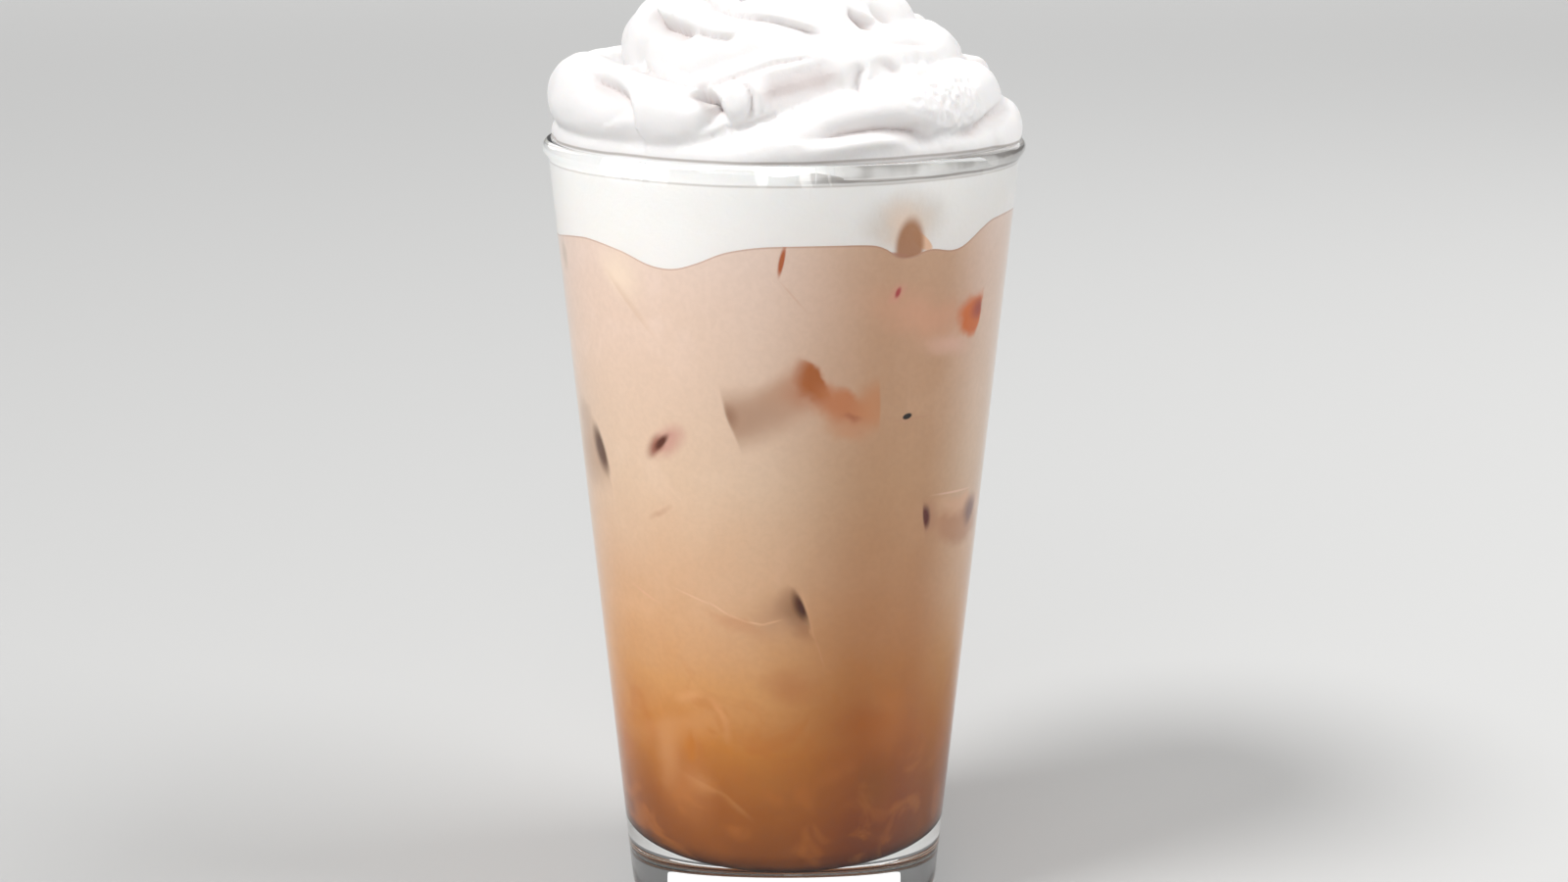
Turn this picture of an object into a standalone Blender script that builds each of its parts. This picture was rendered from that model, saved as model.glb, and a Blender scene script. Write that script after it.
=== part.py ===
"""An iced white mocha: a conical mixing glass, the milky coffee in it, and a piped swirl of whipped cream.

The glass stands on the ground at z = 0 with its axis on Z, and the side that shows faces -Y.
An azimuth is counted from the front, -Y, and grows towards +X, so the swirl winds upwards to the right.
"""

import math

import bmesh
import bpy
import numpy as np
from mathutils import Vector, noise

MM = 0.001

# Driving dimensions of the glass
GLASS_HEIGHT = 149.2 * MM
FOOT_RADIUS = 30.2 * MM
SHOULDER_RADIUS = 43.75 * MM
FLOOR_HEIGHT = 14.3 * MM
BORE_FLOOR_RADIUS = 27.9 * MM
BORE_RIM_RADIUS = 41.5 * MM
BEAD_RADIUS = 1.5 * MM
HEEL_RADIUS = 3.0 * MM
FILLET_RADIUS = 4.5 * MM
PUNT_DEPTH = 1.6 * MM
PUNT_RADIUS = 24.5 * MM
RING_RADIUS = 25.6 * MM

# Clearance between solids that touch in the real drink
GAP = 0.3 * MM

# The line where the cream meets the coffee, as azimuth in degrees and height in mm
CREAM_LINE = (
    (-180, 133.2), (-150, 131.8), (-120, 133.6), (-96, 132.0), (-81, 132.2), (-66, 133.4), (-56, 133.9),
    (-43, 132.7), (-34, 130.9), (-28, 130.7), (-21, 132.0), (-14, 134.1), (-6, 135.1), (4, 135.4),
    (22, 135.2), (28, 133.2), (34, 132.8), (46, 133.0), (52, 133.8), (57, 135.6), (63, 136.9), (80, 136.9),
    (100, 135.2), (128, 133.0), (152, 134.8), (180, 133.2),
)
CREAM_LINE_MEAN = 133.8 * MM
WAVE_DEPTH = 26.0 * MM

# Unevenness of the cream's surface
SWELL = 0.7 * MM

# Mesh fineness
TURNS = 60
ROPE_SIDES = 20
DEGREES_A_STATION = 5.0
VOXEL = 0.6 * MM
CREAM_TRIANGLES = 8200

# The piped rope, from the rim up to the tip: azimuth in degrees, then ring radius, height and rope
# radius in mm
SWIRL = (
    (-170, 38.6, 149.4, 4.8), (-90, 38.6, 149.6, 5.0), (-45, 38.6, 149.6, 5.0), (-13, 37.6, 149.7, 5.9),
    (0, 36.6, 151.0, 6.8), (16, 35.5, 153.6, 7.4), (40, 34.2, 156.4, 7.8), (90, 33.4, 157.5, 7.3),
    (135, 34.4, 156.6, 7.7), (180, 35.0, 156.2, 7.8), (225, 35.6, 156.2, 7.8), (270, 36.0, 156.8, 7.6),
    (300, 35.9, 156.9, 7.6), (318, 35.6, 156.6, 7.4), (336, 35.2, 156.3, 7.0), (347, 34.0, 158.6, 7.0),
    (360, 32.0, 161.2, 6.8), (378, 29.6, 163.2, 6.8), (400, 27.0, 163.6, 7.2), (450, 25.0, 162.6, 7.6),
    (510, 23.0, 164.0, 8.6), (570, 21.0, 164.8, 9.4), (630, 19.4, 165.6, 10.2), (660, 20.2, 165.4, 10.2),
    (676, 23.6, 164.7, 10.3), (690, 26.0, 164.0, 10.4), (702, 26.2, 164.4, 10.2), (720, 23.4, 166.4, 9.8),
    (750, 18.4, 168.2, 9.2), (780, 16.0, 168.2, 9.0),
    (810, 15.0, 167.9, 9.0), (870, 12.0, 169.6, 8.6), (930, 10.0, 172.0, 8.0), (990, 8.6, 174.6, 7.2),
    (1050, 6.6, 176.6, 6.6),
)
# The last of the rope, which falls over the front from the tip and ends low on the right
CAP = (
    (-130, 6.0, 180.6, 4.6), (-100, 7.5, 180.4, 5.4), (-60, 9.6, 179.2, 6.6), (-16, 12.6, 176.4, 8.2),
    (11, 16.8, 171.4, 8.8), (35, 17.0, 168.4, 8.8), (70, 14.0, 166.5, 8.0),
)
TIP = (
    (60, 6.0, 175.5, 7.4), (20, 5.0, 178.6, 6.8), (-20, 4.0, 181.0, 5.9), (-60, 3.0, 183.0, 4.8),
    (-110, 2.4, 185.0, 3.6), (-160, 2.6, 186.6, 2.4), (-200, 3.4, 187.5, 1.3),
)
TONGUE = ((-38, 22.5, 171.5, 3.0), (-28, 24.5, 171.6, 5.0), (-18, 25.2, 170.4, 4.6), (-12, 25.0, 169.6, 2.6))
RIM = ((-185, 38.6, 149.6, 5.0), (185, 38.6, 149.6, 5.0))
LUMP = ((58, 36.4, 149.0, 6.2), (80, 37.4, 150.8, 6.5), (96, 37.4, 150.9, 6.5), (118, 36.8, 149.4, 6.0))

# Folds pressed into the fused cream. Each is a depth, a steep half width and a gentle half width in mm,
# then the points it runs through, as azimuth in degrees and height in mm
FOLDS = (
    (2.6, 0.9, 4.5, ((-52, 165.0), (-46.5, 161.4), (-42.5, 157.6), (-40.5, 153.5))),
    (3.2, 1.0, 2.2, ((-21, 164.0), (-18, 161.0), (-16.5, 159.4), (-14.8, 157.4), (-12.5, 155.4))),
    (1.4, 0.8, 1.6, ((-12.6, 163.8), (-9, 161.8), (-7.4, 159.6), (-7.8, 157.6), (-9.2, 155.8))),
    (1.2, 0.8, 2.2, ((-7.3, 156.3), (-5.2, 157.9), (-4.4, 159.6), (-5.6, 161.6), (-9, 163.6))),
    (2.2, 0.9, 2.6, ((21.8, 165.2), (20.2, 162.8), (18.1, 160.2))),
    (1.7, 0.9, 2.6, ((50, 165.0), (38.7, 164.4), (32.8, 164.0), (28.5, 165.4), (24.5, 166.0), (21, 165.2))),
    (3.2, 1.0, 2.6, ((12, 153.8), (16, 154.8), (20, 155.8), (26, 156.2), (31, 155.6), (39, 153.2))),
    (1.8, 1.2, 1.5, ((43, 152.4), (49, 153.2), (55, 154.0), (64, 155.8), (72, 157.4), (94, 158.2))),
    (2.2, 0.8, 3.0, ((-62, 175.0), (-49, 173.9), (-40.4, 172.9), (-32.3, 171.6), (-24.4, 170.8))),
    (1.1, 0.7, 1.2, ((-24.4, 170.8), (-19.1, 169.8), (-14.7, 169.4), (-13.2, 170.4))),
    (1.3, 0.8, 1.8, ((-24, 174.9), (-12, 173.5), (-0.5, 172.3), (8, 171.0), (13, 170.0))),
    (2.0, 0.8, 1.5, ((25, 174.6), (26, 172.9), (28.3, 171.7), (32.1, 170.5), (35, 169.6))),
    (1.4, 0.8, 1.5, ((35, 173.4), (41, 171.2), (45, 169.4))),
    (1.0, 0.9, 2.0, ((54, 167.2), (41, 168.0), (29, 168.2), (22, 168.0), (14, 167.4))),
    (2.0, 0.9, 4.4, ((-96, 165.6), (-88, 161.0), (-81, 156.4), (-79, 153.6))),
    (2.2, 0.9, 4.6, ((84, 164.8), (95, 161.0), (103, 156.4), (107, 152.6))),
    (1.4, 0.9, 4.6, ((124, 164.0), (132, 160.0), (142, 156.8))),
    (2.2, 1.0, 5.0, ((156, 165.0), (166, 161.0), (175, 156.6), (178, 153.0))),
    (1.5, 0.9, 4.6, ((-168, 163.6), (-158, 160.4), (-150, 157.0))),
    (2.2, 1.0, 5.0, ((-142, 165.0), (-132, 160.6), (-122, 156.0), (-118, 152.6))),
    (1.8, 0.9, 4.0, ((100, 171.6), (112, 168.2), (122, 165.0))),
    (2.2, 0.9, 4.6, ((160, 174.0), (172, 169.6), (180, 166.6))),
    (1.6, 0.9, 4.0, ((-154, 172.6), (-144, 169.4), (-138, 166.4))),
    (2.2, 0.9, 4.6, ((-124, 175.4), (-112, 171.0), (-102, 166.0))),
    (1.4, 0.9, 4.0, ((-88, 174.6), (-78, 170.8), (-72, 167.0))),
    (1.6, 0.8, 3.2, ((120, 179.6), (136, 176.0), (150, 172.6))),
)

# The mass under the ropes, which overfills the bore, as radius and height in mm
CORE = (
    (0.0, 120.0), (43.0, 120.0), (43.0, 148.0), (41.0, 151.0), (34.0, 154.5), (25.0, 162.0), (15.0, 171.0),
    (6.0, 179.0), (0.0, 181.0),
)


def keyed(keys, at):
    """The values of the rows of keys at a place, on a smooth curve. A row starts with its place."""
    i = 0
    while i < len(keys) - 2 and at > keys[i + 1][0]:
        i += 1
    before, low = keys[max(i - 1, 0)], keys[i]
    high, after = keys[i + 1], keys[min(i + 2, len(keys) - 1)]
    span = high[0] - low[0]
    t = min(max((at - low[0]) / span, 0.0), 1.0)
    values = []
    for k in range(1, len(low)):
        start = (high[k] - before[k]) / (high[0] - before[0]) * span
        end = (after[k] - low[k]) / (after[0] - low[0]) * span
        value = (2 * t**3 - 3 * t**2 + 1) * low[k] + (t**3 - 2 * t**2 + t) * start
        value += (3 * t**2 - 2 * t**3) * high[k] + (t**3 - t**2) * end
        values.append(value)
    return values


def outer_radius(z):
    """Radius of the glass's outer wall, which is a straight cone under the rim."""
    return FOOT_RADIUS + (SHOULDER_RADIUS - FOOT_RADIUS) * z / GLASS_HEIGHT


def bore_radius(z):
    """Radius of the glass's inner wall."""
    share = (z - FLOOR_HEIGHT) / (GLASS_HEIGHT - BEAD_RADIUS - FLOOR_HEIGHT)
    return BORE_FLOOR_RADIUS + (BORE_RIM_RADIUS - BORE_FLOOR_RADIUS) * share


def cream_line(azimuth):
    """Height of the cream's lower edge at the bore, for an azimuth in radians."""
    return keyed(CREAM_LINE, math.degrees(azimuth))[0] * MM


def around(azimuth, radius, z):
    """Point at this azimuth (in radians), radius and height."""
    return Vector((radius * math.sin(azimuth), -radius * math.cos(azimuth), z))


def arc(centre, radius, start, end, steps):
    """Points (radius, z) along an arc, with angles in degrees from straight out."""
    points = []
    for i in range(steps + 1):
        angle = math.radians(start + (end - start) * i / steps)
        points.append((centre[0] + radius * math.cos(angle), centre[1] + radius * math.sin(angle)))
    return points


def turned(profile):
    """A bmesh of the profile's points (radius, z), spun once around Z."""
    bm = bmesh.new()
    verts = [bm.verts.new((r, 0.0, z)) for r, z in profile]
    edges = [bm.edges.new(pair) for pair in zip(verts, verts[1:])]
    bmesh.ops.spin(
        bm, geom=verts + edges, cent=(0, 0, 0), axis=(0, 0, 1), angle=math.tau, steps=TURNS, use_merge=True
    )
    bmesh.ops.remove_doubles(bm, verts=bm.verts, dist=1e-6)
    bmesh.ops.recalc_face_normals(bm, faces=bm.faces)
    return bm


def bead_centre():
    """Centre (radius, z) of the rounded rim."""
    return BORE_RIM_RADIUS + BEAD_RADIUS, GLASS_HEIGHT - BEAD_RADIUS


def fillet_centre():
    """Centre (radius, z) of the round between the bore and its floor."""
    z = FLOOR_HEIGHT + FILLET_RADIUS
    return bore_radius(z) - FILLET_RADIUS, z


def wall_lean():
    """Lean of the outer wall, in degrees from upright."""
    return math.degrees(math.atan((SHOULDER_RADIUS - FOOT_RADIUS) / GLASS_HEIGHT))


def glass_profile():
    """Half section of the glass, from the middle of its underside over the rim to the bore's floor."""
    heel = (outer_radius(HEEL_RADIUS) - HEEL_RADIUS, HEEL_RADIUS)
    rim = bead_centre()
    under_bead = rim[1] - 1.7 * MM
    points = [(0.0, PUNT_DEPTH), (PUNT_RADIUS * 0.6, PUNT_DEPTH * 0.8), (PUNT_RADIUS, PUNT_DEPTH * 0.25)]
    points += [(RING_RADIUS, 0.0)]
    points += arc(heel, HEEL_RADIUS, -90.0, -wall_lean(), 5)
    points += [(outer_radius(z), z) for z in (0.25 * GLASS_HEIGHT, 0.5 * GLASS_HEIGHT, 0.75 * GLASS_HEIGHT)]
    points += [(outer_radius(under_bead), under_bead)]
    points += arc(rim, BEAD_RADIUS, -30.0, 180.0, 9)
    points += [(bore_radius(z), z) for z in (0.75 * GLASS_HEIGHT, 0.5 * GLASS_HEIGHT, 0.25 * GLASS_HEIGHT)]
    points += arc(fillet_centre(), FILLET_RADIUS, 0.0, -90.0, 5)
    points += [(BORE_FLOOR_RADIUS * 0.4, FLOOR_HEIGHT), (0.0, FLOOR_HEIGHT)]
    return points


def follow_cream_line(bm, rise, inset):
    """Bends the flat face at the mean cream line, and the wall under it, to the true line.

    The wall keeps its inset from the bore, and the face under the cream is lifted by rise.
    """
    for vert in bm.verts:
        radius = math.hypot(vert.co.x, vert.co.y)
        z = vert.co.z
        if z > CREAM_LINE_MEAN + rise + 1e-6 or z < CREAM_LINE_MEAN - WAVE_DEPTH:
            continue
        azimuth = math.atan2(vert.co.x, -vert.co.y)
        wall = bore_radius(z) - inset
        out = min(radius / wall, 1.0)
        up = 1.0 - (CREAM_LINE_MEAN + rise - z) / WAVE_DEPTH
        shift = (cream_line(azimuth) - CREAM_LINE_MEAN) * out * out * max(up, 0.0)
        on_wall = radius > wall - 0.05 * MM
        new_radius = bore_radius(z + shift) - inset if on_wall else radius
        vert.co = around(azimuth, new_radius, z + shift)


def coffee_bmesh():
    """The drink, from the bore's floor up to the cream, a gap clear of both."""
    top = CREAM_LINE_MEAN
    centre = fillet_centre()
    points = [(0.0, FLOOR_HEIGHT + GAP), (BORE_FLOOR_RADIUS * 0.4, FLOOR_HEIGHT + GAP)]
    points += arc(centre, FILLET_RADIUS - GAP, -90.0, 0.0, 5)
    for z in (45 * MM, 75 * MM, top - WAVE_DEPTH + 1e-5, top - 12 * MM, top - 5 * MM, top):
        points.append((bore_radius(z) - GAP, z))
    wall = bore_radius(top) - GAP
    points += [(wall * share, top) for share in (0.85, 0.68, 0.5, 0.3, 0.12)]
    points += [(0.0, top)]
    bm = turned(points)
    follow_cream_line(bm, 0.0, GAP)
    return bm


def cup_cutter_bmesh():
    """Everything the cream keeps clear of: the coffee and the glass, a gap larger, as one closed solid."""
    floor = CREAM_LINE_MEAN + GAP
    rim = bead_centre()
    wall = bore_radius(floor) - GAP
    points = [(0.0, 100 * MM), (60 * MM, 100 * MM), (60 * MM, 145 * MM)]
    points += [(rim[0] + BEAD_RADIUS + GAP, 145 * MM)]
    points += arc(rim, BEAD_RADIUS + GAP, 0.0, 180.0, 8)
    points += [(wall, floor)]
    points += [(wall * share, floor) for share in (0.85, 0.68, 0.5, 0.3, 0.12)]
    points += [(0.0, floor)]
    bm = turned(points)
    follow_cream_line(bm, GAP, GAP)
    return bm


def add_rope(bm, keys):
    """Adds a closed rope along the keys (azimuth, ring radius, height, rope radius), with round ends."""
    ordered = keys if keys[0][0] < keys[-1][0] else keys[::-1]
    first, last = ordered[0][0], ordered[-1][0]
    stations = max(int((last - first) / DEGREES_A_STATION), 12)
    grid = bmesh.ops.create_grid(bm, x_segments=ROPE_SIDES, y_segments=stations, size=1.0)["verts"]
    for vert in grid:
        angle = (vert.co.x + 1.0) * math.pi
        share = (vert.co.y + 1.0) / 2.0
        azimuth = first + (last - first) * share
        ring, height, radius = (value * MM for value in keyed(ordered, azimuth))
        end = min(share, 1.0 - share) * (last - first)
        reach = max(math.degrees(radius / max(ring, radius)), 1.0)
        roundness = math.sqrt(max(1.0 - max(1.0 - end / reach, 0.0) ** 2, 0.0))
        radius *= roundness
        vert.co = around(
            math.radians(azimuth), ring + radius * math.cos(angle), height + radius * math.sin(angle)
        )
    bmesh.ops.remove_doubles(bm, verts=grid, dist=1e-6)


def new_object(name, bm, material=None):
    """Links an object made of the bmesh, shaded smooth but for its sharp edges."""
    mesh = bpy.data.meshes.new(name)
    bm.to_mesh(mesh)
    bm.free()
    if material:
        mesh.materials.append(material)
        mesh.shade_smooth()
        mesh.set_sharp_from_angle(angle=math.radians(40.0))
    made = bpy.data.objects.new(name, mesh)
    bpy.context.scene.collection.objects.link(made)
    return made


def apply_modifiers(made):
    """Replaces the object's mesh with its evaluated one."""
    graph = bpy.context.evaluated_depsgraph_get()
    mesh = bpy.data.meshes.new_from_object(made.evaluated_get(graph))
    made.modifiers.clear()
    made.data = mesh


def keep_largest_shell(mesh):
    """Drops the loose scraps and the sealed hollows that fusing left."""
    bm = bmesh.new()
    bm.from_mesh(mesh)
    shells, seen = [], set()
    for start in bm.verts:
        if start in seen:
            continue
        shell, queue = [], [start]
        seen.add(start)
        while queue:
            vert = queue.pop()
            shell.append(vert)
            for edge in vert.link_edges:
                other = edge.other_vert(vert)
                if other not in seen:
                    seen.add(other)
                    queue.append(other)
        shells.append(shell)
    shells.sort(key=len)
    for shell in shells[:-1]:
        bmesh.ops.delete(bm, geom=shell, context="VERTS")
    bm.to_mesh(mesh)
    bm.free()


def cream_mass_bmesh():
    """The ropes over one turned mass, as overlapping closed shapes."""
    bm = turned([(radius * MM, height * MM) for radius, height in CORE])
    for keys in (RIM, SWIRL, CAP, TIP, TONGUE, LUMP):
        add_rope(bm, keys)
    bmesh.ops.recalc_face_normals(bm, faces=bm.faces)
    return bm


def fold_depth(points, fold):
    """How deep a fold presses each of the points (azimuth in degrees, radius in mm, height in mm)."""
    depth, steep, gentle, path = fold
    azimuth, radius, height = points
    nearest = np.full(len(azimuth), 1e9)
    pressed = np.zeros(len(azimuth))
    for (a, low), (b, high) in zip(path, path[1:]):
        along = np.radians(b - a) * radius, high - low
        away = np.radians(azimuth - a) * radius, height - low
        length = along[0] ** 2 + along[1] ** 2
        share = np.clip((away[0] * along[0] + away[1] * along[1]) / length, 0.0, 1.0)
        off = away[0] - share * along[0], away[1] - share * along[1]
        distance = np.hypot(off[0], off[1])
        side = along[0] * away[1] - along[1] * away[0]
        width = np.where(side > 0, steep, gentle)
        closer = distance < nearest
        pressed = np.where(closer, depth * np.exp(-((distance / width) ** 1.4)), pressed)
        nearest = np.minimum(nearest, distance)
    return pressed


def sculpt(mesh):
    """Presses the folds into the fused cream and gives it a soft unevenness."""
    count = len(mesh.vertices)
    places = np.empty(count * 3)
    mesh.vertices.foreach_get("co", places)
    places = places.reshape(-1, 3)
    normals = np.empty(count * 3)
    mesh.vertex_normals.foreach_get("vector", normals)
    normals = normals.reshape(-1, 3)
    azimuth = np.degrees(np.arctan2(places[:, 0], -places[:, 1]))
    radius = np.hypot(places[:, 0], places[:, 1]) / MM
    height = places[:, 2] / MM
    swell = np.array([noise.noise(Vector(place) / (11 * MM)) for place in places]) * SWELL
    pressed = np.zeros(count)
    for fold in FOLDS:
        pressed = np.maximum(pressed, fold_depth((azimuth, radius, height), fold))
    places += normals * (swell - pressed * MM)[:, None]
    mesh.vertices.foreach_set("co", places.ravel())
    mesh.update()


def whipped_cream(material):
    """The cream as one solid, fused from its shapes, thinned, and cut clear of the glass and the coffee."""
    cream = new_object("whipped_cream", cream_mass_bmesh(), material)
    fuse = cream.modifiers.new("fuse", "REMESH")
    fuse.mode = "VOXEL"
    fuse.voxel_size = VOXEL
    soften = cream.modifiers.new("soften", "SMOOTH")
    soften.iterations = 2
    apply_modifiers(cream)
    keep_largest_shell(cream.data)
    sculpt(cream.data)
    thin = cream.modifiers.new("thin", "DECIMATE")
    thin.ratio = CREAM_TRIANGLES / (2.0 * len(cream.data.polygons))
    apply_modifiers(cream)
    cutter = new_object("cup_cutter", cup_cutter_bmesh())
    cutter.hide_render = True
    cutter.display_type = "WIRE"
    clear = cream.modifiers.new("clear", "BOOLEAN")
    clear.operation = "DIFFERENCE"
    clear.object = cutter
    clear.solver = "MANIFOLD"
    apply_modifiers(cream)
    bpy.data.objects.remove(cutter)
    keep_largest_shell(cream.data)
    cream.data.shade_smooth()
    return cream


def finish(name, colour, roughness, transmission=0.0):
    """A plain Principled material."""
    material = bpy.data.materials.new(name)
    material.use_nodes = True
    shader = material.node_tree.nodes["Principled BSDF"]
    shader.inputs["Base Color"].default_value = (*colour, 1.0)
    shader.inputs["Roughness"].default_value = roughness
    shader.inputs["Transmission Weight"].default_value = transmission
    return material


def main():
    """Clears the scene and builds the glass, the coffee and the cream."""
    for old in list(bpy.data.objects):
        bpy.data.objects.remove(old)
    new_object("glass", turned(glass_profile()), finish("clear_glass", (0.95, 0.97, 0.96), 0.02, 1.0))
    new_object("coffee", coffee_bmesh(), finish("milky_coffee", (0.62, 0.38, 0.22), 0.25))
    whipped_cream(finish("whipped_cream", (0.93, 0.91, 0.88), 0.45))


main()
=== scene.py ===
"""Looks of an iced white mocha: a clear conical glass, the milky coffee in it and its swirl of cream.

Everything is in metres, with the glass's axis on Z and its foot on the ground. The side that shows
faces -Y. An azimuth is counted in degrees from that side and grows towards +X.
"""

import logging
import math
from collections.abc import Iterable
from dataclasses import dataclass
from enum import Enum

import bmesh
import bpy
import numpy as np
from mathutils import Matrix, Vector, noise
from mathutils.bvhtree import BVHTree


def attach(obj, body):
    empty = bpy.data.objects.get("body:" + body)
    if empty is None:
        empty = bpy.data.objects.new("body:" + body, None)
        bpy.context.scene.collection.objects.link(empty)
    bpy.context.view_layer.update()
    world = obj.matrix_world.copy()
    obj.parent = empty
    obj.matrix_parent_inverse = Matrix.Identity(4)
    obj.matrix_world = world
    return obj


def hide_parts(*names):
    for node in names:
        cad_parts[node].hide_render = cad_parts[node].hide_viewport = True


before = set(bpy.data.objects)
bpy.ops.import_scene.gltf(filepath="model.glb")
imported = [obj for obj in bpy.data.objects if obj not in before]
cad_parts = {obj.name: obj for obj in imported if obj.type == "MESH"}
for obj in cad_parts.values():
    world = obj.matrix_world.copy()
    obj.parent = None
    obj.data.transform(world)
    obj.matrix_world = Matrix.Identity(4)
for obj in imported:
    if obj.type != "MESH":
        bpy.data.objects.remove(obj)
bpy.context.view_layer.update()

LOG = logging.getLogger("iced_white_mocha")
MM = 0.001
BODY = "root"
MERGE_DISTANCE = 1e-6

# Where the photograph's camera stands, in metres, and how far it looks down, in degrees.
CAMERA_PLACE = (0.0, -0.4146, 0.1992)
CAMERA_DIP = 14.66

Colour = tuple[float, float, float]
Row = tuple[float, ...]
Profile = list[tuple[float, float]]
Pixel = tuple[float, float]


def linear(red: int, green: int, blue: int) -> Colour:
    """Turns a screen colour into linear light.

    Args:
        red: Red from 0 to 255.
        green: Green from 0 to 255.
        blue: Blue from 0 to 255.

    Returns:
        The same colour as linear red, green and blue from 0 to 1.
    """

    def one(value: float) -> float:
        """One channel from its screen value to linear light."""
        share = value / 255.0
        return share / 12.92 if share <= 0.04045 else ((share + 0.055) / 1.055) ** 2.4

    return one(red), one(green), one(blue)


def keyed(rows: tuple[Row, ...], at: float) -> list[float]:
    """Reads a smooth curve through rows of values.

    Args:
        rows: Rows that start with their place along the curve, in rising order.
        at: The place to read.

    Returns:
        The other values of the rows at that place.
    """
    i = 0
    while i < len(rows) - 2 and at > rows[i + 1][0]:
        i += 1
    before, low = rows[max(i - 1, 0)], rows[i]
    high, after = rows[i + 1], rows[min(i + 2, len(rows) - 1)]
    span = high[0] - low[0]
    t = min(max((at - low[0]) / span, 0.0), 1.0)
    values = []
    for k in range(1, len(low)):
        start = (high[k] - before[k]) / (high[0] - before[0]) * span
        end = (after[k] - low[k]) / (after[0] - low[0]) * span
        value = (2 * t**3 - 3 * t**2 + 1) * low[k] + (t**3 - 2 * t**2 + t) * start
        value += (3 * t**2 - 2 * t**3) * high[k] + (t**3 - t**2) * end
        values.append(value)
    return values


def around(azimuth: float, radius: float, height: float) -> Vector:
    """Places a point round the glass's axis.

    Args:
        azimuth: Azimuth in degrees.
        radius: Distance from the axis.
        height: Height above the ground.

    Returns:
        The point, in the unit of radius and height.
    """
    angle = math.radians(azimuth)
    return Vector((radius * math.sin(angle), -radius * math.cos(angle), height))


def azimuth_of(point: Vector) -> float:
    """Azimuth of a point, in degrees."""
    return math.degrees(math.atan2(point.x, -point.y))


def arc(centre: tuple[float, float], radius: float, start: float, end: float, steps: int) -> Profile:
    """Draws an arc of a half section.

    Args:
        centre: Radius and height of the arc's centre.
        radius: The arc's own radius.
        start: First angle in degrees, from straight out.
        end: Last angle in degrees.
        steps: Number of straight pieces.

    Returns:
        Points as radius and height.
    """
    points = []
    for i in range(steps + 1):
        angle = math.radians(start + (end - start) * i / steps)
        points.append((centre[0] + radius * math.cos(angle), centre[1] + radius * math.sin(angle)))
    return points


def turned(profile: Profile, steps: int) -> bmesh.types.BMesh:
    """Spins a half section once round Z.

    Args:
        profile: Points as radius and height.
        steps: Number of steps in the full turn.

    Returns:
        The closed, merged mesh with its faces pointing out.
    """
    bm = bmesh.new()
    verts = [bm.verts.new((radius, 0.0, height)) for radius, height in profile]
    edges = [bm.edges.new(pair) for pair in zip(verts, verts[1:])]
    bmesh.ops.spin(
        bm, geom=verts + edges, cent=(0, 0, 0), axis=(0, 0, 1), angle=math.tau, steps=steps, use_merge=True
    )
    bmesh.ops.remove_doubles(bm, verts=bm.verts, dist=MERGE_DISTANCE)
    bmesh.ops.recalc_face_normals(bm, faces=bm.faces)
    return bm


def linked(name: str, bm: bmesh.types.BMesh, material: bpy.types.Material | None = None) -> bpy.types.Object:
    """Links a new object at the origin.

    Args:
        name: The object's name.
        bm: Its mesh, which is freed.
        material: Its material, if it is to show.

    Returns:
        The object, shaded smooth.
    """
    mesh = bpy.data.meshes.new(name)
    bm.to_mesh(mesh)
    bm.free()
    mesh.shade_smooth()
    if material:
        mesh.materials.append(material)
    made = bpy.data.objects.new(name, mesh)
    bpy.context.scene.collection.objects.link(made)
    return made


def settle(made: bpy.types.Object) -> None:
    """Replaces an object's mesh with its evaluated one.

    Args:
        made: The object, whose modifiers are used up.
    """
    graph = bpy.context.evaluated_depsgraph_get()
    mesh = bpy.data.meshes.new_from_object(made.evaluated_get(graph))
    made.modifiers.clear()
    made.data = mesh


class Blend(Enum):
    """How one colour is laid over another."""

    COVER = "MIX"
    MULTIPLY = "MULTIPLY"


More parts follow.
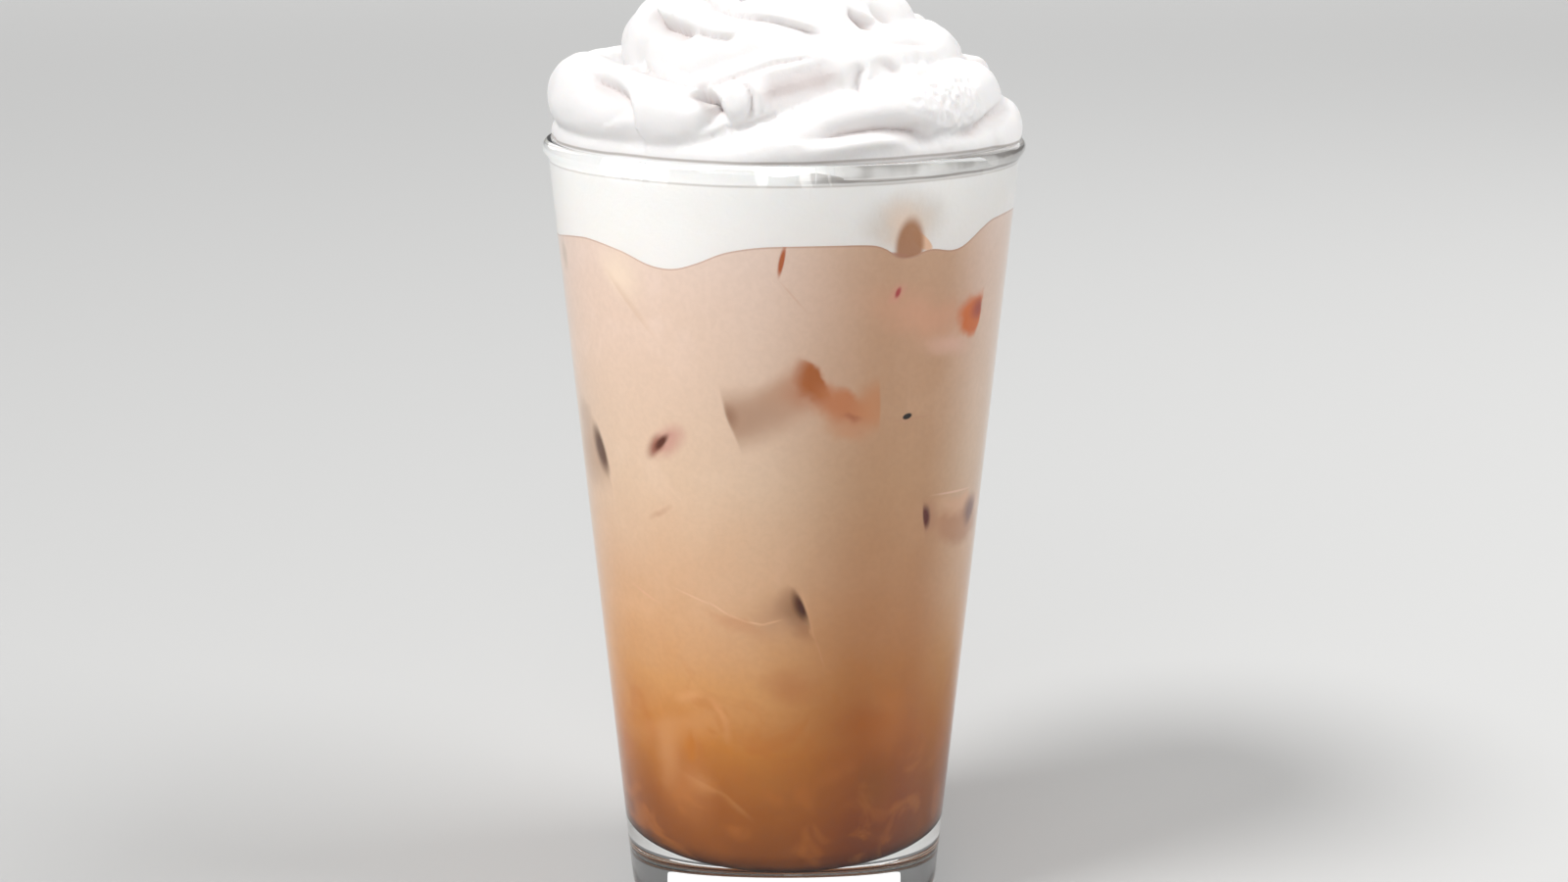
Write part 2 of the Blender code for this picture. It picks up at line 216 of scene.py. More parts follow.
class Sketch:
    """A short hand for a material's nodes."""

    def __init__(self, name: str) -> None:
        """Starts a material with one Principled shader.

        Args:
            name: The material's name.
        """
        self.material = bpy.data.materials.new(name)
        self.material.use_nodes = True
        self.tree = self.material.node_tree
        self.shader = self.tree.nodes["Principled BSDF"]
        self.output = self.tree.nodes["Material Output"]

    def node(self, kind: str, settings: dict | None = None, **inputs: object) -> bpy.types.Node:
        """Adds a node.

        Args:
            kind: The node's type without its ShaderNode prefix.
            settings: Properties to set on it.
            **inputs: Sockets by name, with an underscore for a space, as a value or another socket.

        Returns:
            The node.
        """
        made = self.tree.nodes.new("ShaderNode" + kind)
        for key, value in (settings or {}).items():
            setattr(made, key, value)
        self.feed(made, **inputs)
        return made

    def feed(self, made: bpy.types.Node, **inputs: object) -> None:
        """Joins a node's inputs, named as in node, to values or other sockets."""
        for key, value in inputs.items():
            self.join(made.inputs[key.replace("_", " ")], value)

    def join(self, socket: bpy.types.NodeSocket, value: object) -> None:
        """Links a socket to another, or sets its value.

        Args:
            socket: The input socket.
            value: A value, or the output socket to link.
        """
        if isinstance(value, bpy.types.NodeSocket):
            self.tree.links.new(value, socket)
        else:
            socket.default_value = value

    def factor(self, made: bpy.types.Node) -> bpy.types.NodeSocket:
        """Output of a texture node that holds its strength, whose name differs between versions."""
        return made.outputs["Factor" if "Factor" in made.outputs else "Fac"]

    def maths(self, operation: str, *values: object) -> bpy.types.NodeSocket:
        """Works out a number.

        Args:
            operation: The Math node's operation.
            *values: Its inputs, as numbers or sockets.

        Returns:
            The result's socket.
        """
        made = self.node("Math", {"operation": operation})
        for socket, value in zip(made.inputs, values):
            self.join(socket, value)
        return made.outputs[0]

    def eased(self, value: object, start: float, end: float, low: float = 0.0, high: float = 1.0) -> object:
        """Eases a number from low to high while value goes from start to end.

        Args:
            value: The socket to read.
            start: Where the result is low.
            end: Where the result is high.
            low: The first result.
            high: The last result.

        Returns:
            The result's socket.
        """
        made = self.node("MapRange", {"interpolation_type": "SMOOTHSTEP"}, Value=value)
        self.feed(made, From_Min=start, From_Max=end, To_Min=low, To_Max=high)
        return made.outputs[0]

    def grain(self, vector: object, scale: float, detail: float = 2.0, twist: float = 0.0) -> object:
        """Adds a noise around 0.5.

        Args:
            vector: The coordinates to read.
            scale: Blotches in each metre.
            detail: Octaves of finer grain.
            twist: Distortion.

        Returns:
            The noise's factor socket.
        """
        return self.factor(self.node("TexNoise", Vector=vector, Scale=scale, Detail=detail, Distortion=twist))

    def blended(self, share: object, first: object, second: object, way: Blend = Blend.COVER) -> object:
        """Mixes two colours.

        Args:
            share: How much of the second shows, as a number or socket.
            first: A colour or socket.
            second: A colour or socket.
            way: How the second is laid over the first.

        Returns:
            The mixed colour's socket.
        """
        made = self.node("Mix", {"data_type": "RGBA", "blend_type": way.value})
        self.join(made.inputs[0], share)
        for socket, value in ((made.inputs[6], first), (made.inputs[7], second)):
            self.join(socket, (*value, 1.0) if isinstance(value, tuple) else value)
        return made.outputs[2]

    def mixed(self, share: object, first: object, second: object) -> object:
        """Mixes two shaders.

        Args:
            share: The socket that tells how much of the second shows.
            first: A shader's socket.
            second: A shader's socket.

        Returns:
            The mixed shader's socket.
        """
        made = self.node("MixShader")
        for socket, source in zip(made.inputs, (share, first, second)):
            self.join(socket, source)
        return made.outputs[0]

    def bump(self, height: object, distance: float, strength: float = 1.0) -> object:
        """Turns a height into a normal.

        Args:
            height: The height's socket.
            distance: How far a height of 1 stands out, in metres.
            strength: The bump's strength.

        Returns:
            The normal's socket.
        """
        return self.node("Bump", Strength=strength, Distance=distance, Height=height).outputs[0]


@dataclass(frozen=True)
class WallMark:
    """A soft lens shape seen through the wall, such as where an ice cube leans on the glass.

    Attributes:
        start: Azimuth in degrees and height in mm of its first end.
        end: Azimuth in degrees and height in mm of its other end.
        left: How far it reaches to the left of that way, in mm.
        right: How far it reaches to the right, in mm.
        colour: Its colour.
        share: How much it covers.
        core: Share of its reach that is covered fully, before it fades.
        ragged: Whether its outline wanders.
    """

    start: tuple[float, float]
    end: tuple[float, float]
    left: float
    right: float
    colour: Colour
    share: float = 1.0
    core: float = 0.1
    ragged: bool = True

    def within(self, low: float, high: float, least: float, most: float) -> bool:
        """Says whether it may touch a zone of the wall.

        Args:
            low: The zone's lower edge, in mm.
            high: Its upper edge, in mm.
            least: Its least azimuth, in degrees.
            most: Its greatest azimuth.

        Returns:
            True if it may.
        """
        reach = max(self.left, self.right) + WallChart.SPARE
        turn = math.degrees(reach / WallChart.REFERENCE)
        heights = (self.start[1], self.end[1])
        turns = (self.start[0], self.end[0])
        beside = max(turns) + turn < least or min(turns) - turn > most
        return not beside and min(heights) - reach < high and max(heights) + reach > low


class WallChart:
    """Coordinates on the wall of the bore, for patterns that follow it.

    Attributes:
        REFERENCE: Radius in mm at which the wall is unrolled.
        WANDER: How far in mm a ragged outline wanders at most.
        BENDS: Bends of such an outline in each metre.
        SPARE: How far in mm beyond its reach a mark is still taken to show.
    """

    REFERENCE = 35.0
    WANDER = 1.2
    BENDS = 260.0
    SPARE = 1.5

    def __init__(self, sketch: Sketch) -> None:
        """Works out azimuth and height from Object coordinates.

        Args:
            sketch: The material's nodes.
        """
        self.sketch = sketch
        self.place = sketch.node("TexCoord").outputs["Object"]
        split = sketch.node("SeparateXYZ", Vector=self.place)
        self.height = split.outputs["Z"]
        forward = sketch.maths("MULTIPLY", split.outputs["Y"], -1.0)
        self.azimuth = sketch.maths("ARCTAN2", split.outputs["X"], forward)
        across = sketch.maths("MULTIPLY", self.azimuth, self.REFERENCE)
        up = sketch.maths("MULTIPLY", self.height, 1.0 / MM)
        self.flat = sketch.node("CombineXYZ", X=across, Y=up, Z=0.0).outputs[0]
        wander = sketch.grain(self.place, self.BENDS)
        away = sketch.maths("MULTIPLY_ADD", wander, 2 * self.WANDER, -self.WANDER)
        shift = sketch.node("CombineXYZ", X=away, Y=away, Z=0.0)
        self.rough = self.vector("ADD", self.flat, shift.outputs[0])

    def vector(self, operation: str, first: object, second: object) -> object:
        """Combines two vectors.

        Args:
            operation: The Vector Math node's operation.
            first: A vector's socket.
            second: A vector or its socket.

        Returns:
            The result's socket.
        """
        made = self.sketch.node("VectorMath", {"operation": operation})
        self.sketch.join(made.inputs[0], first)
        self.sketch.join(made.inputs[1], second)
        return made.outputs[0]

    def mask(self, mark: WallMark) -> object:
        """Works out how much a mark covers.

        Args:
            mark: The mark.

        Returns:
            The cover's socket.
        """
        sketch = self.sketch
        start = (math.radians(mark.start[0]) * self.REFERENCE, mark.start[1])
        end = (math.radians(mark.end[0]) * self.REFERENCE, mark.end[1])
        way = (end[0] - start[0], end[1] - start[1])
        chart = self.rough if mark.ragged else self.flat
        middle = ((start[0] + end[0]) / 2, (start[1] + end[1]) / 2, 0.0)
        mapped = sketch.node("Mapping", {"vector_type": "TEXTURE"}, Vector=chart, Location=middle)
        turn = (0.0, 0.0, math.atan2(way[1], way[0]))
        sketch.feed(mapped, Rotation=turn, Scale=(math.hypot(*way) / 2, mark.left, 1.0))
        other = self.vector("MULTIPLY", mapped.outputs[0], (1.0, -mark.left / mark.right, 1.0))
        off = self.vector("MAXIMUM", mapped.outputs[0], other)
        nearness = sketch.node("TexGradient", {"gradient_type": "SPHERICAL"}, Vector=off).outputs[1]
        return sketch.eased(nearness, 0.0, 1.0 - mark.core, 0.0, mark.share)

    def painted(self, colour: object, marks: Iterable[WallMark]) -> object:
        """Lays marks over a colour.

        Args:
            colour: The colour's socket.
            marks: The marks, the lowest first.

        Returns:
            The colour's socket with the marks on it.
        """
        for mark in marks:
            colour = self.sketch.blended(self.mask(mark), colour, mark.colour)
        return colour


@dataclass(frozen=True)
class CupShape:
    """Sizes of the conical mixing glass, in metres.

    Attributes:
        height: Its height.
        foot_radius: Outer radius where the wall's line meets the ground.
        shoulder_radius: Outer radius where that line reaches the height.
        floor_height: Height of the bore's floor.
        bore_floor_radius: Radius where the bore's line meets its floor.
        bore_rim_radius: Radius where that line reaches the rim.
        bead_radius: Radius of the rim's round.
        heel_radius: Radius of the round under the wall.
        fillet_radius: Radius of the round at the bore's floor.
        punt_depth: Depth of the hollow under the foot.
        punt_radius: Radius of that hollow.
        ring_radius: Inner radius of the ring it stands on.
    """

    height: float = 149.2 * MM
    foot_radius: float = 30.2 * MM
    shoulder_radius: float = 43.75 * MM
    floor_height: float = 14.3 * MM
    bore_floor_radius: float = 27.9 * MM
    bore_rim_radius: float = 41.5 * MM
    bead_radius: float = 1.5 * MM
    heel_radius: float = 3.0 * MM
    fillet_radius: float = 4.5 * MM
    punt_depth: float = 1.6 * MM
    punt_radius: float = 24.5 * MM
    ring_radius: float = 25.6 * MM

    def outer_radius(self, height: float) -> float:
        """Radius of the outer wall at a height."""
        return self.foot_radius + (self.shoulder_radius - self.foot_radius) * height / self.height

    def bore_radius(self, height: float) -> float:
        """Radius of the inner wall at a height."""
        share = (height - self.floor_height) / (self.height - self.bead_radius - self.floor_height)
        return self.bore_floor_radius + (self.bore_rim_radius - self.bore_floor_radius) * share

    def bead_centre(self) -> tuple[float, float]:
        """Radius and height of the middle of the rounded rim."""
        return self.bore_rim_radius + self.bead_radius, self.height - self.bead_radius

    def fillet_centre(self) -> tuple[float, float]:
        """Radius and height of the middle of the round at the bore's floor."""
        height = self.floor_height + self.fillet_radius
        return self.bore_radius(height) - self.fillet_radius, height

    def lean(self) -> float:
        """Lean of the outer wall in degrees from upright."""
        return math.degrees(math.atan((self.shoulder_radius - self.foot_radius) / self.height))


@dataclass(frozen=True)
class Stroke:
    """A soft lens shape as it shows in the photograph.

    Attributes:
        start: Pixel of its first end.
        end: Pixel of its other end.
        left: How far it reaches to the left of that way, in pixels.
        right: How far it reaches to the right, in pixels.
        colour: The screen colour it has there.
        share: How much it covers.
        core: Share of its reach that is covered fully, before it fades.
        ragged: Whether its outline wanders.
    """

    start: Pixel
    end: Pixel
    left: float
    right: float
    colour: tuple[int, int, int]
    share: float = 1.0
    core: float = 0.1
    ragged: bool = True


@dataclass(frozen=True)
class PhotoView:
    """The photograph's camera, which tells what place on the bore a pixel shows.

    Attributes:
        cup: The cup it looks at.
        place: Where it stands, in metres.
        dip: How far it looks down, in degrees.
        focal: Its focal length in pixels.
        middle: The pixel it looks straight at.
        refraction: The glass's index of refraction.
        overshoot: How much longer a stroke is drawn at each end, as a share of its length.
        edge: The column of pixels beyond which the glass ends too soon for that.
        probe: How far in pixels beside its middle a stroke's width is measured at most.
        light: Azimuth in degrees and the share of the full light that falls there.
        veil: Azimuth in degrees and the reflections that lie over the glass there.
        least: The least red, green and blue that a stroke keeps under the veil.
    """

    cup: CupShape
    place: tuple[float, float, float] = CAMERA_PLACE
    dip: float = CAMERA_DIP
    focal: float = 2283.3
    middle: Pixel = (801.5, 450.0)
    refraction: float = 1.5
    overshoot: float = 0.1
    edge: float = 1000.0
    probe: float = 1.5
    light: tuple[Row, ...] = (
        (-80, 0.92), (-60, 0.96), (-35, 1.0), (-15, 0.92), (0, 0.82), (15, 0.74), (30, 0.66), (45, 0.6),
        (60, 0.62), (80, 0.66),
    )
    veil: tuple[Row, ...] = (
        (-80, 0.03), (-60, 0.012), (-40, 0.008), (0, 0.01), (40, 0.02), (55, 0.03), (65, 0.05), (75, 0.09),
        (90, 0.15),
    )
    least: Colour = (0.006, 0.002, 0.0008)

    def met(self, start: Vector, way: Vector, foot: float, slope: float) -> Vector | None:
        """Finds where a line first meets a cone round Z.

        Args:
            start: Where the line starts.
            way: Its direction.
            foot: The cone's radius on the ground.
            slope: How much wider the cone is for each metre of height.

        Returns:
            The point, or None if the line passes beside it.
        """
        reach = foot + slope * start.z
        square = way.x**2 + way.y**2 - (slope * way.z) ** 2
        single = 2 * (start.x * way.x + start.y * way.y - slope * way.z * reach)
        inner = single**2 - 4 * square * (start.x**2 + start.y**2 - reach**2)
        return None if inner < 0 else start + way * ((-single - math.sqrt(inner)) / (2 * square))

    def seen(self, pixel: Pixel) -> tuple[float, float] | None:
        """Follows a pixel's line of sight through the wall to the bore.

        Args:
            pixel: The pixel.

        Returns:
            Azimuth in degrees and height in mm of the place, or None beside the glass.
        """
        cup, dip = self.cup, math.radians(self.dip)
        across, up = pixel[0] - self.middle[0], self.middle[1] - pixel[1]
        forward = self.focal * math.cos(dip) + up * math.sin(dip)
        sight = Vector((across, forward, up * math.cos(dip) - self.focal * math.sin(dip))).normalized()
        slope = math.tan(math.radians(cup.lean()))
        outer = self.met(Vector(self.place), sight, cup.foot_radius, slope)
        if outer is None:
            return None
        facing = Vector((outer.x, outer.y, -slope * math.hypot(outer.x, outer.y))).normalized()
        cosine, ratio = -sight.dot(facing), 1 / self.refraction
        bent = ratio * sight + (ratio * cosine - math.sqrt(1 - ratio**2 * (1 - cosine**2))) * facing
        foot = cup.bore_radius(0.0)
        inner = self.met(outer, bent, foot, cup.bore_radius(1.0) - foot)
        return None if inner is None else (azimuth_of(inner), inner.z / MM)

    def slid(self, pixel: Pixel) -> Pixel:
        """Slides a pixel beside the glass inwards until it lies on it.

        Args:
            pixel: The pixel.

        Returns:
            The pixel, or the first one on the glass.
        """
        x, y = pixel
        while self.seen((x, y)) is None:
            x += 1 if x < self.middle[0] else -1
        return x, y

    def flat(self, pixel: Pixel) -> Vector:
        """Place of a pixel on the unrolled wall, in mm."""
        azimuth, height = self.seen(self.slid(pixel))
        return Vector((math.radians(azimuth) * WallChart.REFERENCE, height))

    def ends(self, stroke: Stroke) -> tuple[Pixel, Pixel]:
        """Draws a stroke a little longer where the glass allows, and slides its ends onto the glass.

        Args:
            stroke: The stroke.

        Returns:
            The pixels of its two ends.
        """
        (x1, y1), (x2, y2) = stroke.start, stroke.end
        more = self.overshoot if max(x1, x2) < self.edge else 0.0
        across, down = more * (x2 - x1), more * (y2 - y1)
        longer = ((x1 - across, y1 - down), (x2 + across, y2 + down))
        pairs = zip(longer, (stroke.start, stroke.end))
        start, end = (far if self.seen(far) else near for far, near in pairs)
        return self.slid(start), self.slid(end)

    def unlit(self, colour: tuple[int, int, int], azimuth: float) -> Colour:
        """Works out the own colour of what shows on the wall.

        Args:
            colour: The screen colour it has in the photograph.
            azimuth: Its azimuth in degrees.

        Returns:
            Its own colour, without the veil of reflections and in full light.
        """
        light = np.interp(azimuth, *zip(*self.light))
        veil = np.interp(azimuth, *zip(*self.veil))
        pairs = zip(linear(*colour), self.least)
        red, green, blue = (float(min(max(value - veil, least) / light, 1.0)) for value, least in pairs)
        return red, green, blue

    def mark(self, stroke: Stroke) -> WallMark:
        """Lays a stroke on the bore.

        Args:
            stroke: The stroke.

        Returns:
            The mark there.
        """
        (x1, y1), (x2, y2) = ends = self.ends(stroke)
        length = math.hypot(x2 - x1, y2 - y1)
        middle = ((x1 + x2) / 2, (y1 + y2) / 2)
        way = (self.flat(ends[1]) - self.flat(ends[0])).normalized()
        near = min(stroke.left, stroke.right, self.probe)
        reach = []
        for full, hand in ((stroke.left, near), (stroke.right, -near)):
            step = 1.0
            beside = middle
            while beside == middle or self.seen(beside) is None:
                off = step * hand
                beside = (middle[0] + off * (y2 - y1) / length, middle[1] - off * (x2 - x1) / length)
                step /= 2
            aside = self.flat(beside) - self.flat(middle)
            reach.append(abs(way.cross(aside)) * full / near)
        start, end = self.seen(ends[0]), self.seen(ends[1])
        colour = self.unlit(stroke.colour, (start[0] + end[0]) / 2)
        return WallMark(start, end, *reach, colour, stroke.share, stroke.core, stroke.ragged)


PHOTO_VIEW = PhotoView(CupShape())

# A broad tint of the drink's upper right.
BROAD_TINT = (
    Stroke((870, 300), (985, 340), 40, 40, (184, 138, 116), 0.5, 0.0),
)
# A thin wedge of coffee under the cream.
WEDGE = (
    Stroke((803, 250), (796, 284), 3.2, 4.6, (158, 84, 48), 1.0, 0.4, False),
    Stroke((795, 285), (826, 320), 1.8, 1.8, (186, 146, 122), 0.35, 0.1, False),
)
# A reddish speck.
SPECK = (
    Stroke((922, 288), (913, 310), 9, 9, (186, 130, 118), 0.5, 0.0),
    Stroke((920, 292), (915, 305), 3.5, 3.5, (146, 66, 66), 1.0, 0.3, False),
)
# The orange patch at the right.
ORANGE_PATCH = (
    Stroke((1000, 352), (930, 350), 18, 16, (190, 158, 146), 0.5, 0.0),
    Stroke((1003, 290), (990, 350), 6, 50, (176, 130, 106), 0.45, 0.0),
    Stroke((1003, 294), (992, 348), 5, 20, (172, 96, 10), 1.0, 0.5),
    Stroke((1002, 298), (998, 330), 3.5, 10, (128, 62, 8), 0.8, 0.1, False),
)
# The large patch where a cube leans on the glass: grey body, sharp left edge, amber ridge and tail.
LARGE_PATCH = (
    Stroke((752, 440), (850, 388), 34, 36, (184, 152, 130), 0.85),
    Stroke((760, 425), (834, 380), 26, 40, (176, 140, 116), 0.8),
    Stroke((737, 396), (760, 462), 70, 5, (172, 140, 118), 0.95, 0.2, False),
    Stroke((740, 410), (750, 440), 14, 4, (140, 104, 82), 0.75, 0.05, False),
    Stroke((818, 362), (856, 416), 8, 52, (166, 112, 82), 0.85),
    Stroke((819, 366), (851, 412), 7, 25, (152, 88, 46), 1.0, 0.4),
    Stroke((836, 390), (895, 432), 18, 38, (172, 112, 76), 0.95, 0.25),
    Stroke((897.5, 386), (897.5, 440), 3, 34, (172, 122, 88), 0.85, 0.25, False),
    Stroke((858, 424), (882, 428), 5, 7, (146, 90, 66), 0.7, 0.0),
    Stroke((836, 436), (898, 442), 14, 16, (178, 134, 104), 0.7, 0.0),
)
# A cube's corner at the left.
LEFT_NOTCH = (
    Stroke((698, 434), (668, 466), 20, 18, (200, 154, 140), 0.9, 0.2),
    Stroke((684, 442), (662, 468), 9, 14, (148, 92, 76)),
    Stroke((684, 443), (670, 460), 5, 6, (92, 48, 34), 1.0, 0.3, False),
)
# A dark sliver at the far left.
LEFT_SLIVER = (
    Stroke((604, 420), (626, 500), 4, 44, (184, 154, 130), 0.9, 0.25),
    Stroke((594, 404), (607, 446), 8, 9, (190, 164, 144), 0.8, 0.2),
    Stroke((609, 430), (624, 486), 4.4, 8.5, (92, 60, 38), 1.0, 0.3, False),
)
# A small black dot with a thin line.
BLACK_DOT = (
    Stroke((908, 431), (955, 422), 1.6, 1.6, (160, 122, 102), 0.4, 0.2, False),
    Stroke((922, 426.4), (931.5, 423), 3.4, 3.4, (14, 9, 6), 1.0, 0.6, False),
)
# A cube's rounded face at the right.
RIGHT_OVAL = (
    Stroke((942, 534), (1000, 527), 22, 28, (160, 124, 100), 0.95, 0.5),
    Stroke((946, 513), (996, 507), 13, 18, (184, 150, 126), 0.8, 0.2),
    Stroke((943, 508), (946, 548), 18, 3.4, (140, 104, 84), 0.75, 0.1, False),
    Stroke((944, 514), (946, 541), 7, 3.2, (80, 46, 32), 1.0, 0.3, False),
    Stroke((996, 503), (985, 537), 4.4, 9, (104, 78, 60), 0.8, 0.2, False),
    Stroke((950, 505), (990, 496.5), 1.8, 1.8, (204, 176, 160), 0.45, 0.2, False),
)
# A cube's corner low in the middle, with painted highlights along the edges beside it.
MIDDLE_NOTCH = (
    Stroke((804, 594), (828, 646), 5, 84, (168, 132, 104), 0.8, 0.0),
    Stroke((807, 597), (828, 643), 4.5, 34, (132, 96, 68), 0.85, 0.05),
    Stroke((812, 601), (827, 637), 4, 11, (72, 40, 26), 1.0, 0.2, False),
    Stroke((818, 628), (832, 656), 2.5, 22, (140, 96, 66), 0.5, 0.0),
    # Painted highlights along the edges beside the corner.
    Stroke((818, 598), (827, 630), 1.7, 2, (194, 156, 124), 0.42, 0.1, False),
    Stroke((824, 618), (834, 658), 1.7, 2, (188, 146, 112), 0.42, 0.1, False),
    Stroke((831, 644), (844, 686), 1.5, 1.8, (182, 136, 102), 0.42, 0.1, False),
)
# Fine light lines of cubes further in, painted highlights along their edges, with faint marks beside them.
FINE_LINES_AND_HIGHLIGHTS = (
    Stroke((688, 598), (734, 619), 1.8, 1.8, (230, 194, 162), 0.42, 0.1, False),
    Stroke((724, 613), (750, 630.5), 1.8, 1.8, (230, 194, 162), 0.42, 0.1, False),
    Stroke((741, 625), (768, 636.5), 1.8, 1.8, (228, 190, 158), 0.42, 0.1, False),
    Stroke((758, 633), (785, 638), 1.8, 1.8, (226, 188, 154), 0.42, 0.1, False),
    Stroke((774, 638.5), (802, 631.5), 1.8, 1.8, (218, 176, 142), 0.42, 0.1, False),
    Stroke((715, 618), (792, 650), 8, 14, (192, 142, 104), 0.55, 0.0),
    Stroke((646, 593), (678, 617), 1.7, 1.7, (224, 178, 148), 0.42, 0.1, False),
    Stroke((654, 310), (612, 252), 18, 30, (241, 222, 200), 0.6, 0.0),
    Stroke((618, 271), (676, 352), 6, 2, (212, 184, 160), 0.45, 0.1, False),
    Stroke((576, 242), (580, 278), 4, 4, (188, 170, 154), 0.7, 0.2),
    Stroke((664, 528), (688, 517), 5, 5, (190, 148, 122), 0.6, 0.0),
)
# Light and amber swirls low in the drink.
LOWER_SWIRLS = (
    Stroke((690, 745), (715, 850), 34, 44, (186, 122, 70), 0.6, 0.0),
    Stroke((701, 738), (709, 780), 10, 10, (190, 120, 46), 0.8, 0.0),
    Stroke((650, 742), (762, 722), 16, 34, (206, 150, 98), 0.5, 0.0),
    Stroke((735, 712), (748, 762), 6, 6, (208, 152, 98), 0.4, 0.0),
    Stroke((694, 784), (747, 812), 2, 7, (196, 140, 84), 0.35, 0.1, False),
    Stroke((734, 803), (772, 837), 2, 7, (190, 132, 76), 0.35, 0.1, False),
    Stroke((903, 692), (914, 768), 34, 34, (170, 112, 66), 0.28, 0.0),
    Stroke((878, 775), (908, 825), 34, 34, (112, 72, 32), 0.4, 0.0),
    Stroke((684, 722), (684, 806), 18, 18, (210, 154, 102), 0.5, 0.0),
    Stroke((700, 790), (738, 806), 14, 16, (198, 140, 88), 0.4, 0.0),
    Stroke((688, 714), (726, 704), 9, 9, (216, 160, 108), 0.6, 0.0),
    Stroke((724, 706), (746, 738), 6, 6, (212, 154, 102), 0.55, 0.0),
    Stroke((705, 744), (708, 782), 5, 6, (186, 114, 40), 0.8),
    Stroke((722, 741), (738, 748), 3, 3, (184, 118, 56), 0.55, 0.0),
    Stroke((772, 694), (848, 704), 26, 26, (164, 106, 64), 0.55, 0.0),
    Stroke((842, 735), (922, 738), 30, 28, (142, 82, 36), 0.6, 0.0),
)
ICE_STROKES = (
    *BROAD_TINT, *WEDGE, *SPECK, *ORANGE_PATCH, *LARGE_PATCH, *LEFT_NOTCH,
    *LEFT_SLIVER, *BLACK_DOT, *RIGHT_OVAL, *MIDDLE_NOTCH, *FINE_LINES_AND_HIGHLIGHTS, *LOWER_SWIRLS,
)
# The end of a cube that shows through the cream in the glass, with a soft halo, over a broad painted shade
# round it.
CREAM_ICE_AND_SHADE_STROKES = (
    # Painted shade: a broad grey over the cream in the glass on the right.
    Stroke((926, 258), (926, 194), 60, 60, (174, 166, 158), 0.95, 0.0),
    Stroke((935, 260), (912, 200), 34, 40, (200, 182, 168), 0.8, 0.0),
    Stroke((952, 254), (934, 236), 9, 5, (192, 160, 136), 1.0, 0.7, False),
    Stroke((931.5, 222), (928, 284), 17.5, 17.5, (142, 100, 70), 0.95, 0.6, False),
    Stroke((902, 258.5), (932, 262), 3.5, 3.5, (148, 106, 86), 0.85, 0.3, False),
)


@dataclass(frozen=True)
class CreamLine:
    """The wavy line on the bore where the cream meets the coffee.

    Attributes:
        rows: Azimuth in degrees and height in mm.
        mean: Its mean height in metres.
        depth: How far below it the drink's wall still moves with it.
        slack: How far a point may be from the wall or the line and still count as on it.
    """

    rows: tuple[Row, ...] = (
        (-180, 133.2), (-150, 131.8), (-120, 133.6), (-96, 132.0), (-81, 132.1), (-66, 133.4),
        (-56, 133.9), (-43.5, 132.8), (-34.3, 130.9), (-27.8, 130.7), (-21.5, 132.0), (-14.7, 134.0),
        (-6.9, 135.1), (0.8, 135.4), (13.2, 135.4), (22, 135.1), (25.5, 134.2), (28.5, 132.8),
        (32.6, 132.6), (36, 133.3), (39, 133.5), (45, 132.8), (49, 133.1), (53, 134.3), (57, 135.7),
        (63, 136.9), (80, 136.9), (100, 135.2), (128, 133.0), (152, 134.8), (180, 133.2),
    )
    mean: float = 133.8 * MM
    depth: float = 26.0 * MM
    slack: float = 0.05 * MM

    def height(self, azimuth: float) -> float:
        """Height of the line in metres at an azimuth in degrees."""
        return keyed(self.rows, azimuth)[0] * MM

    def bend(self, bm: bmesh.types.BMesh, rise: float, cup: CupShape, inset: float) -> None:
        """Bends a flat turned face at the mean line, and the wall under it, to the true line.

        Args:
            bm: The turned mesh.
            rise: Height of the flat face over the mean line.
            cup: The cup whose bore the wall follows.
            inset: Distance of the wall inside the bore.
        """
        for vert in bm.verts:
            radius = math.hypot(vert.co.x, vert.co.y)
            height = vert.co.z
            if height > self.mean + rise + MERGE_DISTANCE or height < self.mean - self.depth:
                continue
            azimuth = azimuth_of(vert.co)
            wall = cup.bore_radius(height) - inset
            out = min(radius / wall, 1.0)
            up = max(1.0 - (self.mean + rise - height) / self.depth, 0.0)
            moved = height + (self.height(azimuth) - self.mean) * out * out * up
            on_wall = radius > wall - self.slack
            vert.co = around(azimuth, cup.bore_radius(moved) - inset if on_wall else radius, moved)


@dataclass(frozen=True)
class ClearGlass:
    """Finish of the cup: clear glass that lets the lamps reach what is behind it.

    Attributes:
        tint: The colour it gives to what is seen through it.
        refraction: Its index of refraction.
        roughness: Its roughness.
    """

    tint: Colour = (0.985, 0.995, 0.99)
    refraction: float = 1.5
    roughness: float = 0.0

    def material(self) -> bpy.types.Material:
        """Makes the material.

        Returns:
            The material.
        """
        sketch = Sketch("clear_glass")
        shader, tint = sketch.shader, (*self.tint, 1.0)
        sketch.feed(shader, Base_Color=tint, Roughness=self.roughness, IOR=self.refraction)
        sketch.feed(shader, Transmission_Weight=1.0)
        passing = sketch.node("BsdfTransparent", Color=tint)
        shadow = sketch.node("LightPath").outputs["Is Shadow Ray"]
        mixed = sketch.mixed(shadow, shader.outputs[0], passing.outputs[0])
        sketch.join(sketch.output.inputs["Surface"], mixed)
        return sketch.material


